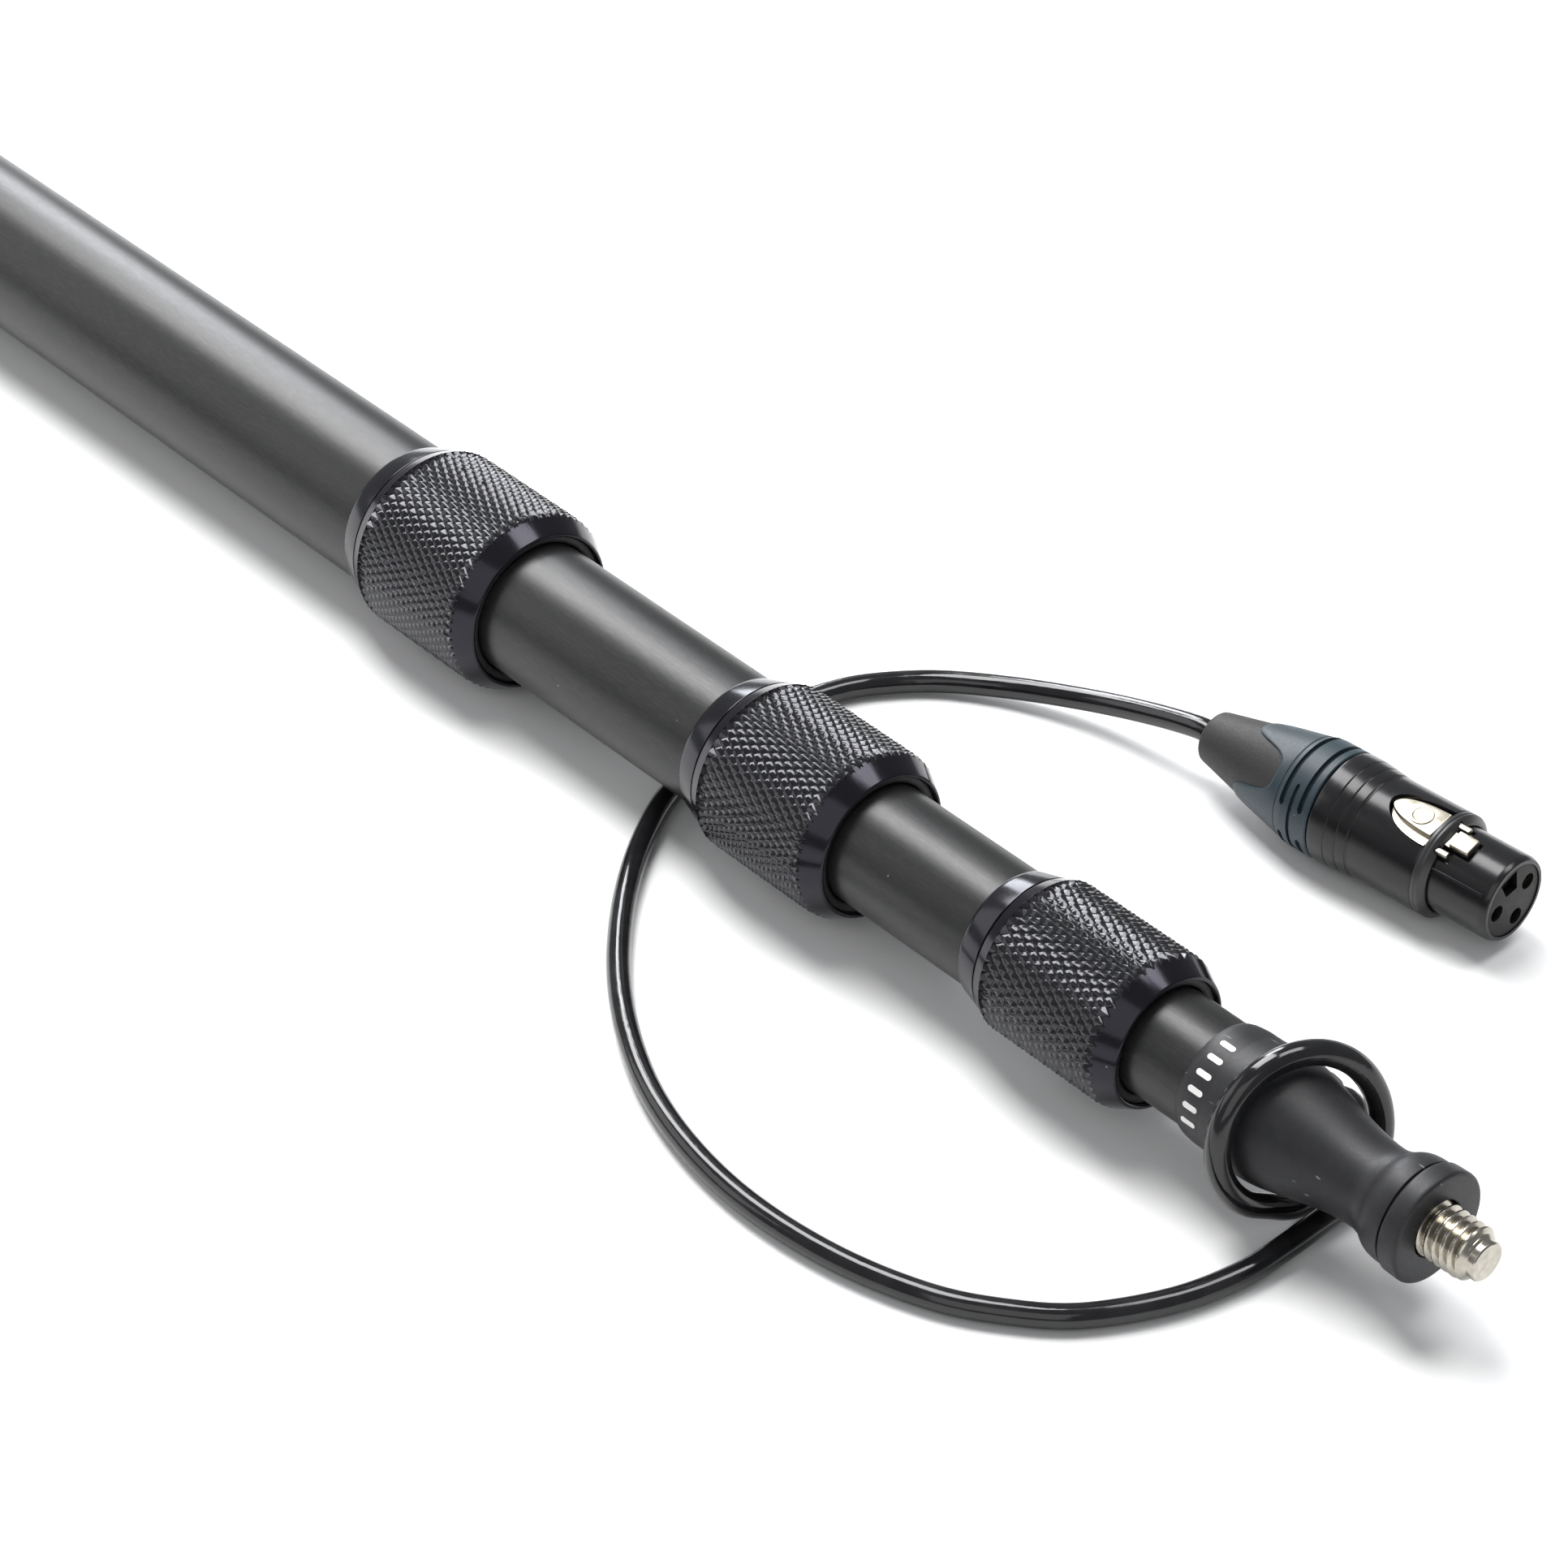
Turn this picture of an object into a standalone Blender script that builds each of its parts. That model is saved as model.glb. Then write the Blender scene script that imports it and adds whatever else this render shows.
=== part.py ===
"""Telescopic boom pole with three twist locks, a threaded tip and a microphone lead.

Metres, +Z up. The pole lies along X with its tip at +X, on the floor at z = 0, and the origin is
on the floor below the middle of its length. Its axis is AXIS_Z above the floor.
"""

import math

import bmesh
import bpy
from mathutils import Matrix, Vector

SIDES = 24  # facets round a turned piece
SMALL_SIDES = 12
GAP = 0.0003  # between pieces that touch

# Pole
HALF_LENGTH = 0.330
AXIS_Z = 0.0175  # the radius of the largest collar, which the pole lies on
WALL = 0.0012
BASE_R = 0.0143
SECOND_R = 0.0127
THIRD_R = 0.0111
TIP_R = 0.009525
TUBE_INTO_FERRULE = 0.0101
TIP_FRONT = 0.2792

# Twist locks: where the ferrule starts, outer tube radius, inner tube radius, crest radius, knurl
LOCKS = {
    1: (0.0656, BASE_R, SECOND_R, 0.0175, 0.0268),
    2: (0.1584, SECOND_R, THIRD_R, 0.01586, 0.0253),
    3: (0.2263, THIRD_R, TIP_R, 0.01406, 0.0249),
}
FERRULE_RING = 0.0051
PLAIN_BAND = 0.0022  # smooth sloping band behind the knurl
LIP = 0.0042  # bevelled lip in front of the knurl
MOUTH_STEP = 0.0016  # the collar's mouth stands this far off the inner tube
THREAD_DEPTH = 0.0021  # from the crest to the ferrule's sleeve
STOP_FIT = 0.00015  # between the ferrule's inner lip, which stops the guide bush, and the tube

# Butt end
CAP_R = 0.0160
CAP_FRONT = -0.2850
CAP_REAR = -0.3283
SOCKET_R = 0.0082
TUBE_STOP = -0.3047
INSERT_FRONT = -0.3150
INSERT_REAR = -0.3060
PIN_R = 0.0012
PIN_CIRCLE = 0.0039
PIN_ANGLES = (10.0, 170.0, 270.0)

# Guide bushes behind the sliding tubes: closed, each rests on the one around it
BUSH_GUIDE = 0.0450
BUSH_LENGTH = 0.0500
SLIDE_FIT = 0.0001
SECOND_REAR = TUBE_STOP + GAP + BUSH_GUIDE + GAP
THIRD_REAR = SECOND_REAR + BUSH_LENGTH + GAP
TIP_REAR = THIRD_REAR + BUSH_LENGTH + GAP

# Tip
RING_REAR = 0.2741
NOSE_REAR = 0.2798
NOSE_FRONT = 0.3160
NOSE_PROFILE = (  # x and radius, from the flange back to the ring
    (0.3160, 0.00925),
    (0.3145, 0.00920),
    (0.3131, 0.00907),
    (0.3119, 0.00860),
    (0.3106, 0.00775),
    (0.3086, 0.00720),
    (0.3043, 0.00747),
    (0.3008, 0.00802),
    (0.2970, 0.00885),
    (0.2937, 0.00965),
    (0.2900, 0.01050),
    (0.2860, 0.01087),
    (0.2829, 0.01065),
    (0.2798, 0.01050),
)
DISC_FRONT = 0.3201
DISC_R = 0.00975
STUD_R = 0.00465  # 3/8-16 UNC, over its crests
STUD_BORE = 0.00495
STUD_REAR = 0.3030
DOG_R = 0.0034
COIL_R = 0.0060

# Microphone lead: angles run round the pole from the far side (+Y), down, and back over the top
CORD_R = 0.0021
WRAP_R = 0.0136
WRAP_X = 0.2865
WRAP_PITCH = 0.0065
WRAP_TILT = 0.0039
WRAP_FAR_ANGLE = 48.6
WRAP_FROM = 110
WRAP_TO = 450
WRAP_STEP = 20
EXIT_ROUTE = (  # x, distance from the pole's axis, angle
    (0.2866, 0.0130, 12.0),
    (0.2879, 0.0153, 15.0),
    (0.2892, 0.0172, 22.0),
    (0.2903, 0.0182, 33.0),
    (0.2910, 0.0180, 46.0),
    (0.2914, 0.0170, 60.0),
    (0.2915, 0.0158, 75.0),
    (0.2913, 0.0147, 92.0),
)
FLOOR_ROUTE = (  # from under the nose, round in front, under the second tube and to the plug
    (0.2972, -0.0080, 0.0027),
    (0.2968, -0.0170, 0.0022),
    (0.2940, -0.0290, 0.0022),
    (0.2874, -0.0417, 0.0022),
    (0.2790, -0.0499, 0.0022),
    (0.2690, -0.0562, 0.0022),
    (0.2542, -0.0611, 0.0022),
    (0.2376, -0.0632, 0.0022),
    (0.2218, -0.0622, 0.0022),
    (0.2060, -0.0582, 0.0022),
    (0.1912, -0.0513, 0.0022),
    (0.1780, -0.0426, 0.0022),
    (0.1665, -0.0326, 0.0022),
    (0.1572, -0.0226, 0.0022),
    (0.1500, -0.0128, 0.0022),
    (0.1450, -0.0040, 0.0022),
    (0.1412, 0.0070, 0.0022),
    (0.1392, 0.0180, 0.0022),
    (0.1392, 0.0290, 0.0022),
    (0.1412, 0.0390, 0.0022),
    (0.1450, 0.0465, 0.0022),
    (0.1515, 0.0545, 0.0023),
    (0.1625, 0.0622, 0.0031),
    (0.1760, 0.0678, 0.0051),
    (0.1885, 0.0702, 0.0079),
)
WRAP_SPACING = 0.0048
FLOOR_SPACING = 0.0108

# Plug: local X is its axis, from the boot's rear end to the mating face
PLUG_AT = (0.2025, 0.0713, 0.0103)
PLUG_TURN = 3.9
PLUG_LENGTH = 0.0657
LATCH_LEAN = 13.0  # degrees from straight up, towards -Y
CONTACT_CIRCLE = 0.0042
CONTACT_ANGLES = (10.0, 170.0, 270.0)  # the latch is at 90
CONTACT_HOLE_R = 0.0015

BLACK_ANODISED = (0.030, 0.031, 0.034)
BLACK_KNURL = (0.022, 0.022, 0.028)
BLACK_PAINT = (0.035, 0.035, 0.037)
BLACK_RUBBER = (0.020, 0.020, 0.021)
CORD_BLACK = (0.012, 0.012, 0.013)
SLATE_PLASTIC = (0.060, 0.066, 0.075)
WHITE_ACETAL = (0.70, 0.70, 0.67)
STAINLESS = (0.62, 0.60, 0.57)
SILVER = (0.75, 0.75, 0.76)
GOLD = (0.80, 0.60, 0.28)


def clear_scene():
    for thing in list(bpy.data.objects):
        bpy.data.objects.remove(thing, do_unlink=True)


def collection(name):
    group = bpy.data.collections.new(name)
    bpy.context.scene.collection.children.link(group)
    return group


def finish(thing, colour, roughness, metallic):
    material = bpy.data.materials.new(thing.name)
    material.use_nodes = True
    shader = material.node_tree.nodes["Principled BSDF"]
    shader.inputs["Base Color"].default_value = (*colour, 1.0)
    shader.inputs["Roughness"].default_value = roughness
    shader.inputs["Metallic"].default_value = metallic
    thing.data.materials.clear()
    thing.data.materials.append(material)


def empty(name, location, rotation=(0.0, 0.0, 0.0), parent=None):
    thing = bpy.data.objects.new(name, None)
    thing.location = location
    thing.rotation_euler = rotation
    thing.parent = parent
    PARTS.objects.link(thing)
    return thing


def add(name, mesh, group, parent=None):
    thing = bpy.data.objects.new(name, mesh)
    thing.parent = parent
    group.objects.link(thing)
    if group is CUTTERS:
        thing.hide_render = True
        thing.display_type = "WIRE"
    return thing


def turned(name, profile, look, parent, group=None, solid=False, sides=SIDES):
    """Turn (x, radius) points, which run down the outer side, about the parent's X axis.

    A solid piece's profile starts and ends on the axis; any other profile is a closed loop.
    """
    mesh = bpy.data.meshes.new(name)
    points = [(radius, 0.0, x) for x, radius in profile]
    edges = [(i, i + 1) for i in range(len(points) - 1)]
    if not solid:
        edges.append((len(points) - 1, 0))
    mesh.from_pydata(points, edges, [])
    thing = add(name, mesh, group or PARTS, parent)
    thing.rotation_euler = (0.0, math.pi / 2, 0.0)
    screw = thing.modifiers.new("Turn", "SCREW")
    screw.axis = "Z"
    screw.angle = 2 * math.pi
    screw.steps = sides
    screw.render_steps = sides
    screw.use_merge_vertices = True
    screw.merge_threshold = 0.00001
    screw.use_smooth_shade = True
    if look:
        finish(thing, *look)
    return thing


def cut(thing, *cutters):
    for cutter in cutters:
        boolean = thing.modifiers.new("Cut", "BOOLEAN")
        boolean.operation = "DIFFERENCE"
        boolean.solver = "EXACT"
        boolean.object = cutter


def join(thing, other):
    boolean = thing.modifiers.new("Join", "BOOLEAN")
    boolean.operation = "UNION"
    boolean.solver = "EXACT"
    boolean.object = other


def box(name, low, high, look, parent, group=None):
    mesh = bpy.data.meshes.new(name)
    shape = bmesh.new()
    bmesh.ops.create_cube(shape, size=1.0)
    size = Vector(high) - Vector(low)
    middle = (Vector(high) + Vector(low)) / 2
    bmesh.ops.transform(
        shape, matrix=Matrix.Translation(middle) @ Matrix.Diagonal((*size, 1.0)), verts=shape.verts
    )
    shape.to_mesh(mesh)
    shape.free()
    thing = add(name, mesh, group or PARTS, parent)
    if look:
        finish(thing, *look)
    return thing


def rod_cutter(name, start, end, radius, parent):
    """A cylinder from start to end, in the parent's frame."""
    start, end = Vector(start), Vector(end)
    mesh = bpy.data.meshes.new(name)
    shape = bmesh.new()
    bmesh.ops.create_cone(
        shape,
        cap_ends=True,
        segments=SMALL_SIDES,
        radius1=radius,
        radius2=radius,
        depth=(end - start).length,
    )
    shape.to_mesh(mesh)
    shape.free()
    thing = add(name, mesh, CUTTERS, parent)
    thing.location = (start + end) / 2
    thing.rotation_euler = (end - start).to_track_quat("Z", "Y").to_euler()
    return thing


def catmull_rom(points, steps=12):
    """A smooth curve through the points, as a dense list."""
    ends = [2 * points[0] - points[1], *points, 2 * points[-1] - points[-2]]
    dense = []
    for i in range(1, len(ends) - 2):
        a, b, c, d = ends[i - 1 : i + 3]
        for step in range(steps):
            t = step / steps
            dense.append(
                0.5
                * (
                    2 * b
                    + (c - a) * t
                    + (2 * a - 5 * b + 4 * c - d) * t**2
                    + (3 * b - a - 3 * c + d) * t**3
                )
            )
    dense.append(points[-1])
    return dense


def spaced(dense, spacing):
    """The dense list's points about a given distance apart, with both ends kept."""
    total = sum((b - a).length for a, b in zip(dense, dense[1:]))
    count = max(2, round(total / spacing))
    wanted = [total * i / count for i in range(1, count)]
    result = [dense[0]]
    travelled = 0.0
    for a, b in zip(dense, dense[1:]):
        length = (b - a).length
        while wanted and travelled + length >= wanted[0]:
            result.append(a.lerp(b, (wanted[0] - travelled) / length))
            wanted.pop(0)
        travelled += length
    result.append(dense[-1])
    return result


def round_pole(x, radius, degrees):
    """A point beside the pole, by its distance from the axis and its angle round it."""
    angle = math.radians(degrees)
    return Vector((x, radius * math.cos(angle), AXIS_Z - radius * math.sin(angle)))


def wrap_x(degrees):
    lean = math.cos(math.radians(degrees - WRAP_FAR_ANGLE))
    return WRAP_X + WRAP_PITCH * degrees / 360 + WRAP_TILT * lean


def plug_point(x, y=0.0, z=0.0):
    turn = Matrix.Rotation(math.radians(PLUG_TURN), 3, "Z")
    return Vector(PLUG_AT) + turn @ Vector((x, y, z))


def lead_points():
    start = [round_pole(*place) for place in EXIT_ROUTE]
    angles = range(WRAP_FROM, WRAP_TO + 1, WRAP_STEP)
    wrap = [round_pole(wrap_x(a), WRAP_R, a) for a in angles]
    floor = [Vector(place) for place in FLOOR_ROUTE]
    end = [plug_point(-0.0035), plug_point(-GAP)]
    route = start + wrap + floor + end
    dense = catmull_rom(route)
    split = (len(start) + len(wrap)) * 12
    wrapped = spaced(dense[12:split], WRAP_SPACING)[:-1]
    return [route[0], *wrapped, *spaced(dense[split - 1 :], FLOOR_SPACING)]


def lead(name, points, radius, look):
    curve = bpy.data.curves.new(name, "CURVE")
    curve.dimensions = "3D"
    curve.bevel_depth = radius
    curve.bevel_resolution = 2
    curve.use_fill_caps = True
    spline = curve.splines.new("POLY")
    spline.points.add(len(points) - 1)
    for target, point in zip(spline.points, points):
        target.co = (*point, 1.0)
    thing = bpy.data.objects.new(name, curve)
    PARTS.objects.link(thing)
    finish(thing, *look)
    return thing


def tube(name, rear, front, radius, parent):
    profile = ((front, radius), (rear, radius), (rear, radius - WALL), (front, radius - WALL))
    return turned(name, profile, (BLACK_ANODISED, 0.42, 0.9), parent)


def ferrule(name, back, outer_r, inner_r, crest, front, parent):
    """Ring and threaded sleeve fixed on the end of the outer tube."""
    sleeve = crest - THREAD_DEPTH
    ring_front = back + FERRULE_RING
    sleeve_front = front - 0.0122
    stop = back + TUBE_INTO_FERRULE + GAP
    profile = (
        (sleeve_front, sleeve),
        (ring_front, sleeve),
        (ring_front, crest - 0.0011),
        (ring_front - 0.0003, crest - 0.0010),
        (back + 0.0003, outer_r + 0.0006),
        (back, outer_r + 0.0004),
        (back, outer_r + GAP),
        (stop, outer_r + GAP),
        (stop, inner_r + STOP_FIT),
        (stop + 0.0020, inner_r + STOP_FIT),
        (stop + 0.0020, outer_r + 0.0001),
        (sleeve_front, outer_r + 0.0001),
    )
    return turned(name, profile, (BLACK_ANODISED, 0.25, 0.9), parent)


def collet(name, back, outer_r, inner_r, crest, front, parent):
    """Split plastic collet that the collar squeezes onto the inner tube."""
    sleeve = crest - THREAD_DEPTH
    rear = back + TUBE_INTO_FERRULE + 0.0026
    profile = (
        (front - 0.0086, inner_r + 0.0008),
        (front - 0.0119, sleeve - 0.0004),
        (front - 0.0119, outer_r - 0.0002),
        (rear, outer_r - 0.0002),
        (rear, inner_r + GAP),
        (front - 0.0086, inner_r + GAP),
    )
    piece = turned(name, profile, (WHITE_ACETAL, 0.5, 0.0), parent)
    slit = box(
        name + "_slit",
        (rear - 0.002, -0.0005, 0.0),
        (front, 0.0005, crest + 0.002),
        None,
        parent,
        CUTTERS,
    )
    cut(piece, slit)
    return piece


def lock_collar(name, back, inner_r, crest, front, parent):
    """Knurled twist collar, here with its knurl as a plain band of the crest's radius."""
    start = back + FERRULE_RING + GAP
    bore = crest - THREAD_DEPTH + GAP
    profile = (
        (front, inner_r + MOUTH_STEP),
        (front, inner_r + 0.0019),
        (front - 0.0004, inner_r + 0.0023),
        (front - LIP, crest - 0.0002),
        (front - LIP - 0.0003, crest),
        (start + PLAIN_BAND, crest),
        (start + PLAIN_BAND - 0.0003, crest - 0.0003),
        (start, crest - 0.0010),
        (start, bore),
        (front - 0.0116, bore),
        (front - 0.0078, inner_r + 0.0013),
        (front - 0.0078, inner_r + 0.0006),
        (front - 0.0040, inner_r + 0.0006),
        (front - 0.0040, inner_r + MOUTH_STEP),
    )
    return turned(name, profile, (BLACK_KNURL, 0.3, 0.9), parent)


def wiper_ring(name, inner_r, front, parent):
    outer = inner_r + MOUTH_STEP - GAP
    profile = (
        (front - 0.0023, inner_r + 0.0008),
        (front - 0.0026, outer),
        (front - 0.0037, outer),
        (front - 0.0037, inner_r + GAP),
        (front - 0.0026, inner_r + GAP),
    )
    return turned(name, profile, (BLACK_RUBBER, 0.7, 0.0), parent)


def twist_lock(number, section, collar_parent):
    back, outer_r, inner_r, crest, knurl = LOCKS[number]
    front = back + FERRULE_RING + GAP + PLAIN_BAND + knurl + LIP
    ferrule(f"ferrule_{number}", back, outer_r, inner_r, crest, front, section)
    collet(f"collet_{number}", back, outer_r, inner_r, crest, front, section)
    lock_collar(f"lock_collar_{number}", back, inner_r, crest, front, collar_parent)
    wiper_ring(f"wiper_ring_{number}", inner_r, front, collar_parent)


def guide_bush(name, tube_rear, outer_bore, inner_bore, passage, parent):
    """Bush behind a sliding tube: its guide runs in the tube around it and stops on the lip."""
    rear = tube_rear - BUSH_GUIDE - GAP
    profile = (
        (rear + BUSH_LENGTH, inner_bore - GAP),
        (rear + BUSH_GUIDE, inner_bore - GAP),
        (rear + BUSH_GUIDE, outer_bore - SLIDE_FIT),
        (rear, outer_bore - SLIDE_FIT),
        (rear, passage),
        (rear + BUSH_LENGTH, passage),
    )
    return turned(name, profile, (WHITE_ACETAL, 0.5, 0.0), parent)


def butt_end(section):
    cap = (
        (CAP_FRONT, CAP_R - 0.0008),
        (CAP_FRONT - 0.0012, CAP_R),
        (CAP_REAR, CAP_R),
        (CAP_REAR, SOCKET_R),
        (TUBE_STOP, SOCKET_R),
        (TUBE_STOP, BASE_R + GAP),
        (CAP_FRONT, BASE_R + GAP),
    )
    turned("end_cap", cap, (BLACK_ANODISED, 0.4, 0.9), section)
    bumper = (
        (CAP_REAR + 0.0120, AXIS_Z - 0.0005),
        (CAP_REAR + 0.0115, AXIS_Z),
        (-HALF_LENGTH + 0.0008, AXIS_Z),
        (-HALF_LENGTH, AXIS_Z - 0.0010),
        (-HALF_LENGTH, 0.0098),
        (CAP_REAR - GAP, 0.0098),
        (CAP_REAR - GAP, CAP_R + GAP),
        (CAP_REAR + 0.0120, CAP_R + GAP),
    )
    turned("butt_bumper", bumper, (BLACK_RUBBER, 0.75, 0.0), section)
    insert = (
        (INSERT_REAR, 0.0),
        (INSERT_REAR, SOCKET_R - GAP),
        (INSERT_FRONT, SOCKET_R - GAP),
        (INSERT_FRONT, 0.0),
    )
    turned("output_insert", insert, (BLACK_PAINT, 0.6, 0.0), section, solid=True)
    for number, degrees in enumerate(PIN_ANGLES, start=1):
        angle = math.radians(degrees)
        place = (0.0, PIN_CIRCLE * math.cos(angle), PIN_CIRCLE * math.sin(angle))
        holder = empty(f"output_pin_{number}_at", place, parent=section)
        pin = (
            (INSERT_FRONT - GAP, 0.0),
            (INSERT_FRONT - GAP, PIN_R),
            (-0.3268, PIN_R),
            (-0.3276, PIN_R - 0.0006),
            (-0.3276, 0.0),
        )
        look = (SILVER, 0.25, 1.0)
        turned(f"output_pin_{number}", pin, look, holder, solid=True, sides=SMALL_SIDES)


def exit_frame():
    """Where the lead leaves the nose, and the direction that it leaves in."""
    points = [round_pole(*place) for place in EXIT_ROUTE[:2]]
    return points[0], (points[1] - points[0]).normalized()


def tip_end(section):
    ring = (
        (NOSE_REAR - GAP, 0.0105),
        (RING_REAR + 0.0025, 0.0105),
        (RING_REAR + 0.0006, 0.0102),
        (RING_REAR, TIP_R + 0.0004),
        (RING_REAR, TIP_R + GAP),
        (NOSE_REAR - GAP, TIP_R + GAP),
    )
    turned("tip_ring", ring, (BLACK_PAINT, 0.4, 0.0), section)
    spigot = TIP_R - WALL - GAP
    nose_profile = (
        (STUD_REAR, 0.0),
        (STUD_REAR, STUD_BORE),
        (NOSE_FRONT, STUD_BORE),
        *NOSE_PROFILE,
        (NOSE_REAR, spigot),
        (0.2680, spigot),
        (0.2680, 0.0046),
        (0.2960, 0.0046),
        (0.2960, 0.0),
    )
    nose = turned("nose", nose_profile, (BLACK_PAINT, 0.55, 0.0), section, solid=True)
    disc = (
        (DISC_FRONT, STUD_BORE),
        (DISC_FRONT, DISC_R - 0.0005),
        (DISC_FRONT - 0.0005, DISC_R),
        (NOSE_FRONT + 0.0007, DISC_R),
        (NOSE_FRONT + GAP, DISC_R - 0.0004),
        (NOSE_FRONT + GAP, STUD_BORE),
    )
    turned("mount_disc", disc, (BLACK_PAINT, 0.5, 0.0), section)
    stud = (
        (HALF_LENGTH, 0.0),
        (HALF_LENGTH, DOG_R - 0.0002),
        (HALF_LENGTH - 0.0002, DOG_R),
        (HALF_LENGTH - 0.0013, DOG_R),
        (HALF_LENGTH - 0.0021, STUD_R),
        (STUD_REAR + GAP, STUD_R),
        (STUD_REAR + GAP, 0.0),
    )
    turned("stud", stud, (STAINLESS, 0.22, 1.0), section, solid=True)
    place, direction = exit_frame()
    rod = rod_cutter(
        "exit_hole", place - 0.011 * direction, place + 0.002 * direction, 0.0033, None
    )
    cut(nose, rod)
    grommet = (
        (-GAP, 0.0),
        (-GAP, 0.0024),
        (-0.0017, 0.0030),
        (-0.0062, 0.0030),
        (-0.0062, 0.0),
    )
    holder = empty("exit_grommet_at", place, direction.to_track_quat("X", "Z").to_euler())
    look = (BLACK_RUBBER, 0.6, 0.0)
    turned("exit_grommet", grommet, look, holder, solid=True, sides=16)


def plug_body(plug):
    boot = (
        (0.0189, 0.0091),
        (0.0086, 0.00666),
        (0.0015, 0.00535),
        (0.0004, 0.0047),
        (0.0, 0.0038),
        (0.0, 0.0024),
        (0.0095, 0.0024),
        (0.0095, 0.0050),
        (0.0189, 0.0050),
    )
    turned("plug_boot", boot, (BLACK_RUBBER, 0.7, 0.0), plug)
    chuck = (
        (0.0280, 0.0047),
        (0.0100, 0.0036),
        (0.0100, 0.0024),
        (0.0280, 0.0024),
    )
    turned("plug_chuck", chuck, (WHITE_ACETAL, 0.5, 0.0), plug, sides=16)
    bushing = (
        (0.0290, 0.0101),
        (0.0236, 0.0101),
        (0.0192, 0.00917),
        (0.0192, 0.0050),
        (0.0290, 0.0050),
    )
    turned("plug_bushing", bushing, (SLATE_PLASTIC, 0.5, 0.0), plug)
    shell_profile = (
        (PLUG_LENGTH, 0.0072),
        (0.0638, 0.0079),
        (0.0533, 0.0079),
        (0.0533, 0.0085),
        (0.0529, 0.0089),
        (0.0508, 0.0089),
        (0.0508, 0.00955),
        (0.0376, 0.00955),
        (0.0314, 0.0102),
        (0.0293, 0.0102),
        (0.0293, 0.0080),
        (0.0460, 0.0080),
        (0.0460, 0.0068),
        (PLUG_LENGTH, 0.0068),
    )
    shell = turned("plug_shell", shell_profile, (BLACK_ANODISED, 0.35, 0.9), plug)
    ring = (
        (0.0541, 0.00825),
        (0.0541, 0.00855),
        (0.0529, 0.00965),
        (0.0511, 0.00965),
        (0.0511, 0.0092),
        (0.0530, 0.0092),
        (0.0536, 0.0086),
        (0.0536, 0.00825),
    )
    turned("plug_ring", ring, (BLACK_RUBBER, 0.5, 0.0), plug)
    return shell


def plug_contacts(plug):
    insert_profile = (
        (0.0653, 0.0),
        (0.0653, 0.0065),
        (0.0440, 0.0065),
        (0.0440, 0.0),
    )
    look = (BLACK_PAINT, 0.6, 0.0)
    insert = turned("plug_insert", insert_profile, look, plug, solid=True)
    for number, degrees in enumerate(CONTACT_ANGLES, start=1):
        angle = math.radians(degrees + LATCH_LEAN)
        y = CONTACT_CIRCLE * math.cos(angle)
        z = CONTACT_CIRCLE * math.sin(angle)
        hole = rod_cutter(
            f"contact_hole_{number}", (0.0557, y, z), (0.0670, y, z), CONTACT_HOLE_R, plug
        )
        cut(insert, hole)
        holder = empty(f"plug_contact_{number}_at", (0.0, y, z), parent=plug)
        contact = (
            (0.0644, 0.0012),
            (0.0560, 0.0012),
            (0.0560, 0.00075),
            (0.0644, 0.00075),
        )
        turned(f"plug_contact_{number}", contact, (GOLD, 0.3, 1.0), holder, sides=SMALL_SIDES)


def plug_latch(plug, shell):
    """Sprung latch in the shell's window, with its tab in front of the ring."""
    leaning = empty("latch_at", (0.0, 0.0, 0.0), (math.radians(LATCH_LEAN), 0.0, 0.0), plug)
    window = box(
        "latch_window", (0.0403, -0.0036, 0.0060), (0.0508, 0.0036, 0.0110), None, leaning, CUTTERS
    )
    channel = box(
        "latch_channel", (0.0505, -0.0021, 0.0060), (0.0584, 0.0021, 0.0110), None, leaning, CUTTERS
    )
    cut(shell, window, channel)
    side = (
        (0.0415, 0.0087),
        (0.0492, 0.0087),
        (0.0492, 0.0075),
        (0.0581, 0.0075),
        (0.0581, 0.0088),
        (0.0572, 0.0094),
        (0.0545, 0.0094),
        (0.0545, 0.00795),
        (0.0503, 0.00795),
        (0.0503, 0.0091),
        (0.0415, 0.0091),
    )
    curve = bpy.data.curves.new("plug_latch", "CURVE")
    curve.dimensions = "2D"
    curve.fill_mode = "BOTH"
    curve.extrude = 0.0018
    spline = curve.splines.new("POLY")
    spline.points.add(len(side) - 1)
    for target, (x, z) in zip(spline.points, side):
        target.co = (x, z, 0.0, 1.0)
    spline.use_cyclic_u = True
    outline = bpy.data.objects.new("plug_latch_outline", curve)
    PARTS.objects.link(outline)
    bpy.context.view_layer.update()
    depsgraph = bpy.context.evaluated_depsgraph_get()
    mesh = bpy.data.meshes.new_from_object(outline.evaluated_get(depsgraph))
    bpy.data.objects.remove(outline, do_unlink=True)
    shape = bmesh.new()
    shape.from_mesh(mesh)
    bmesh.ops.remove_doubles(shape, verts=shape.verts, dist=0.00001)
    upright = Matrix.Rotation(math.pi / 2, 4, "X")
    bmesh.ops.transform(shape, matrix=upright, verts=shape.verts)
    shape.to_mesh(mesh)
    shape.free()
    latch = add("plug_latch", mesh, PARTS, leaning)
    plate = box(
        "latch_plate", (0.0406, -0.0033, 0.0088), (0.0503, 0.0033, 0.0094), None, leaning, CUTTERS
    )
    join(latch, plate)
    finish(latch, SILVER, 0.3, 1.0)


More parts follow.
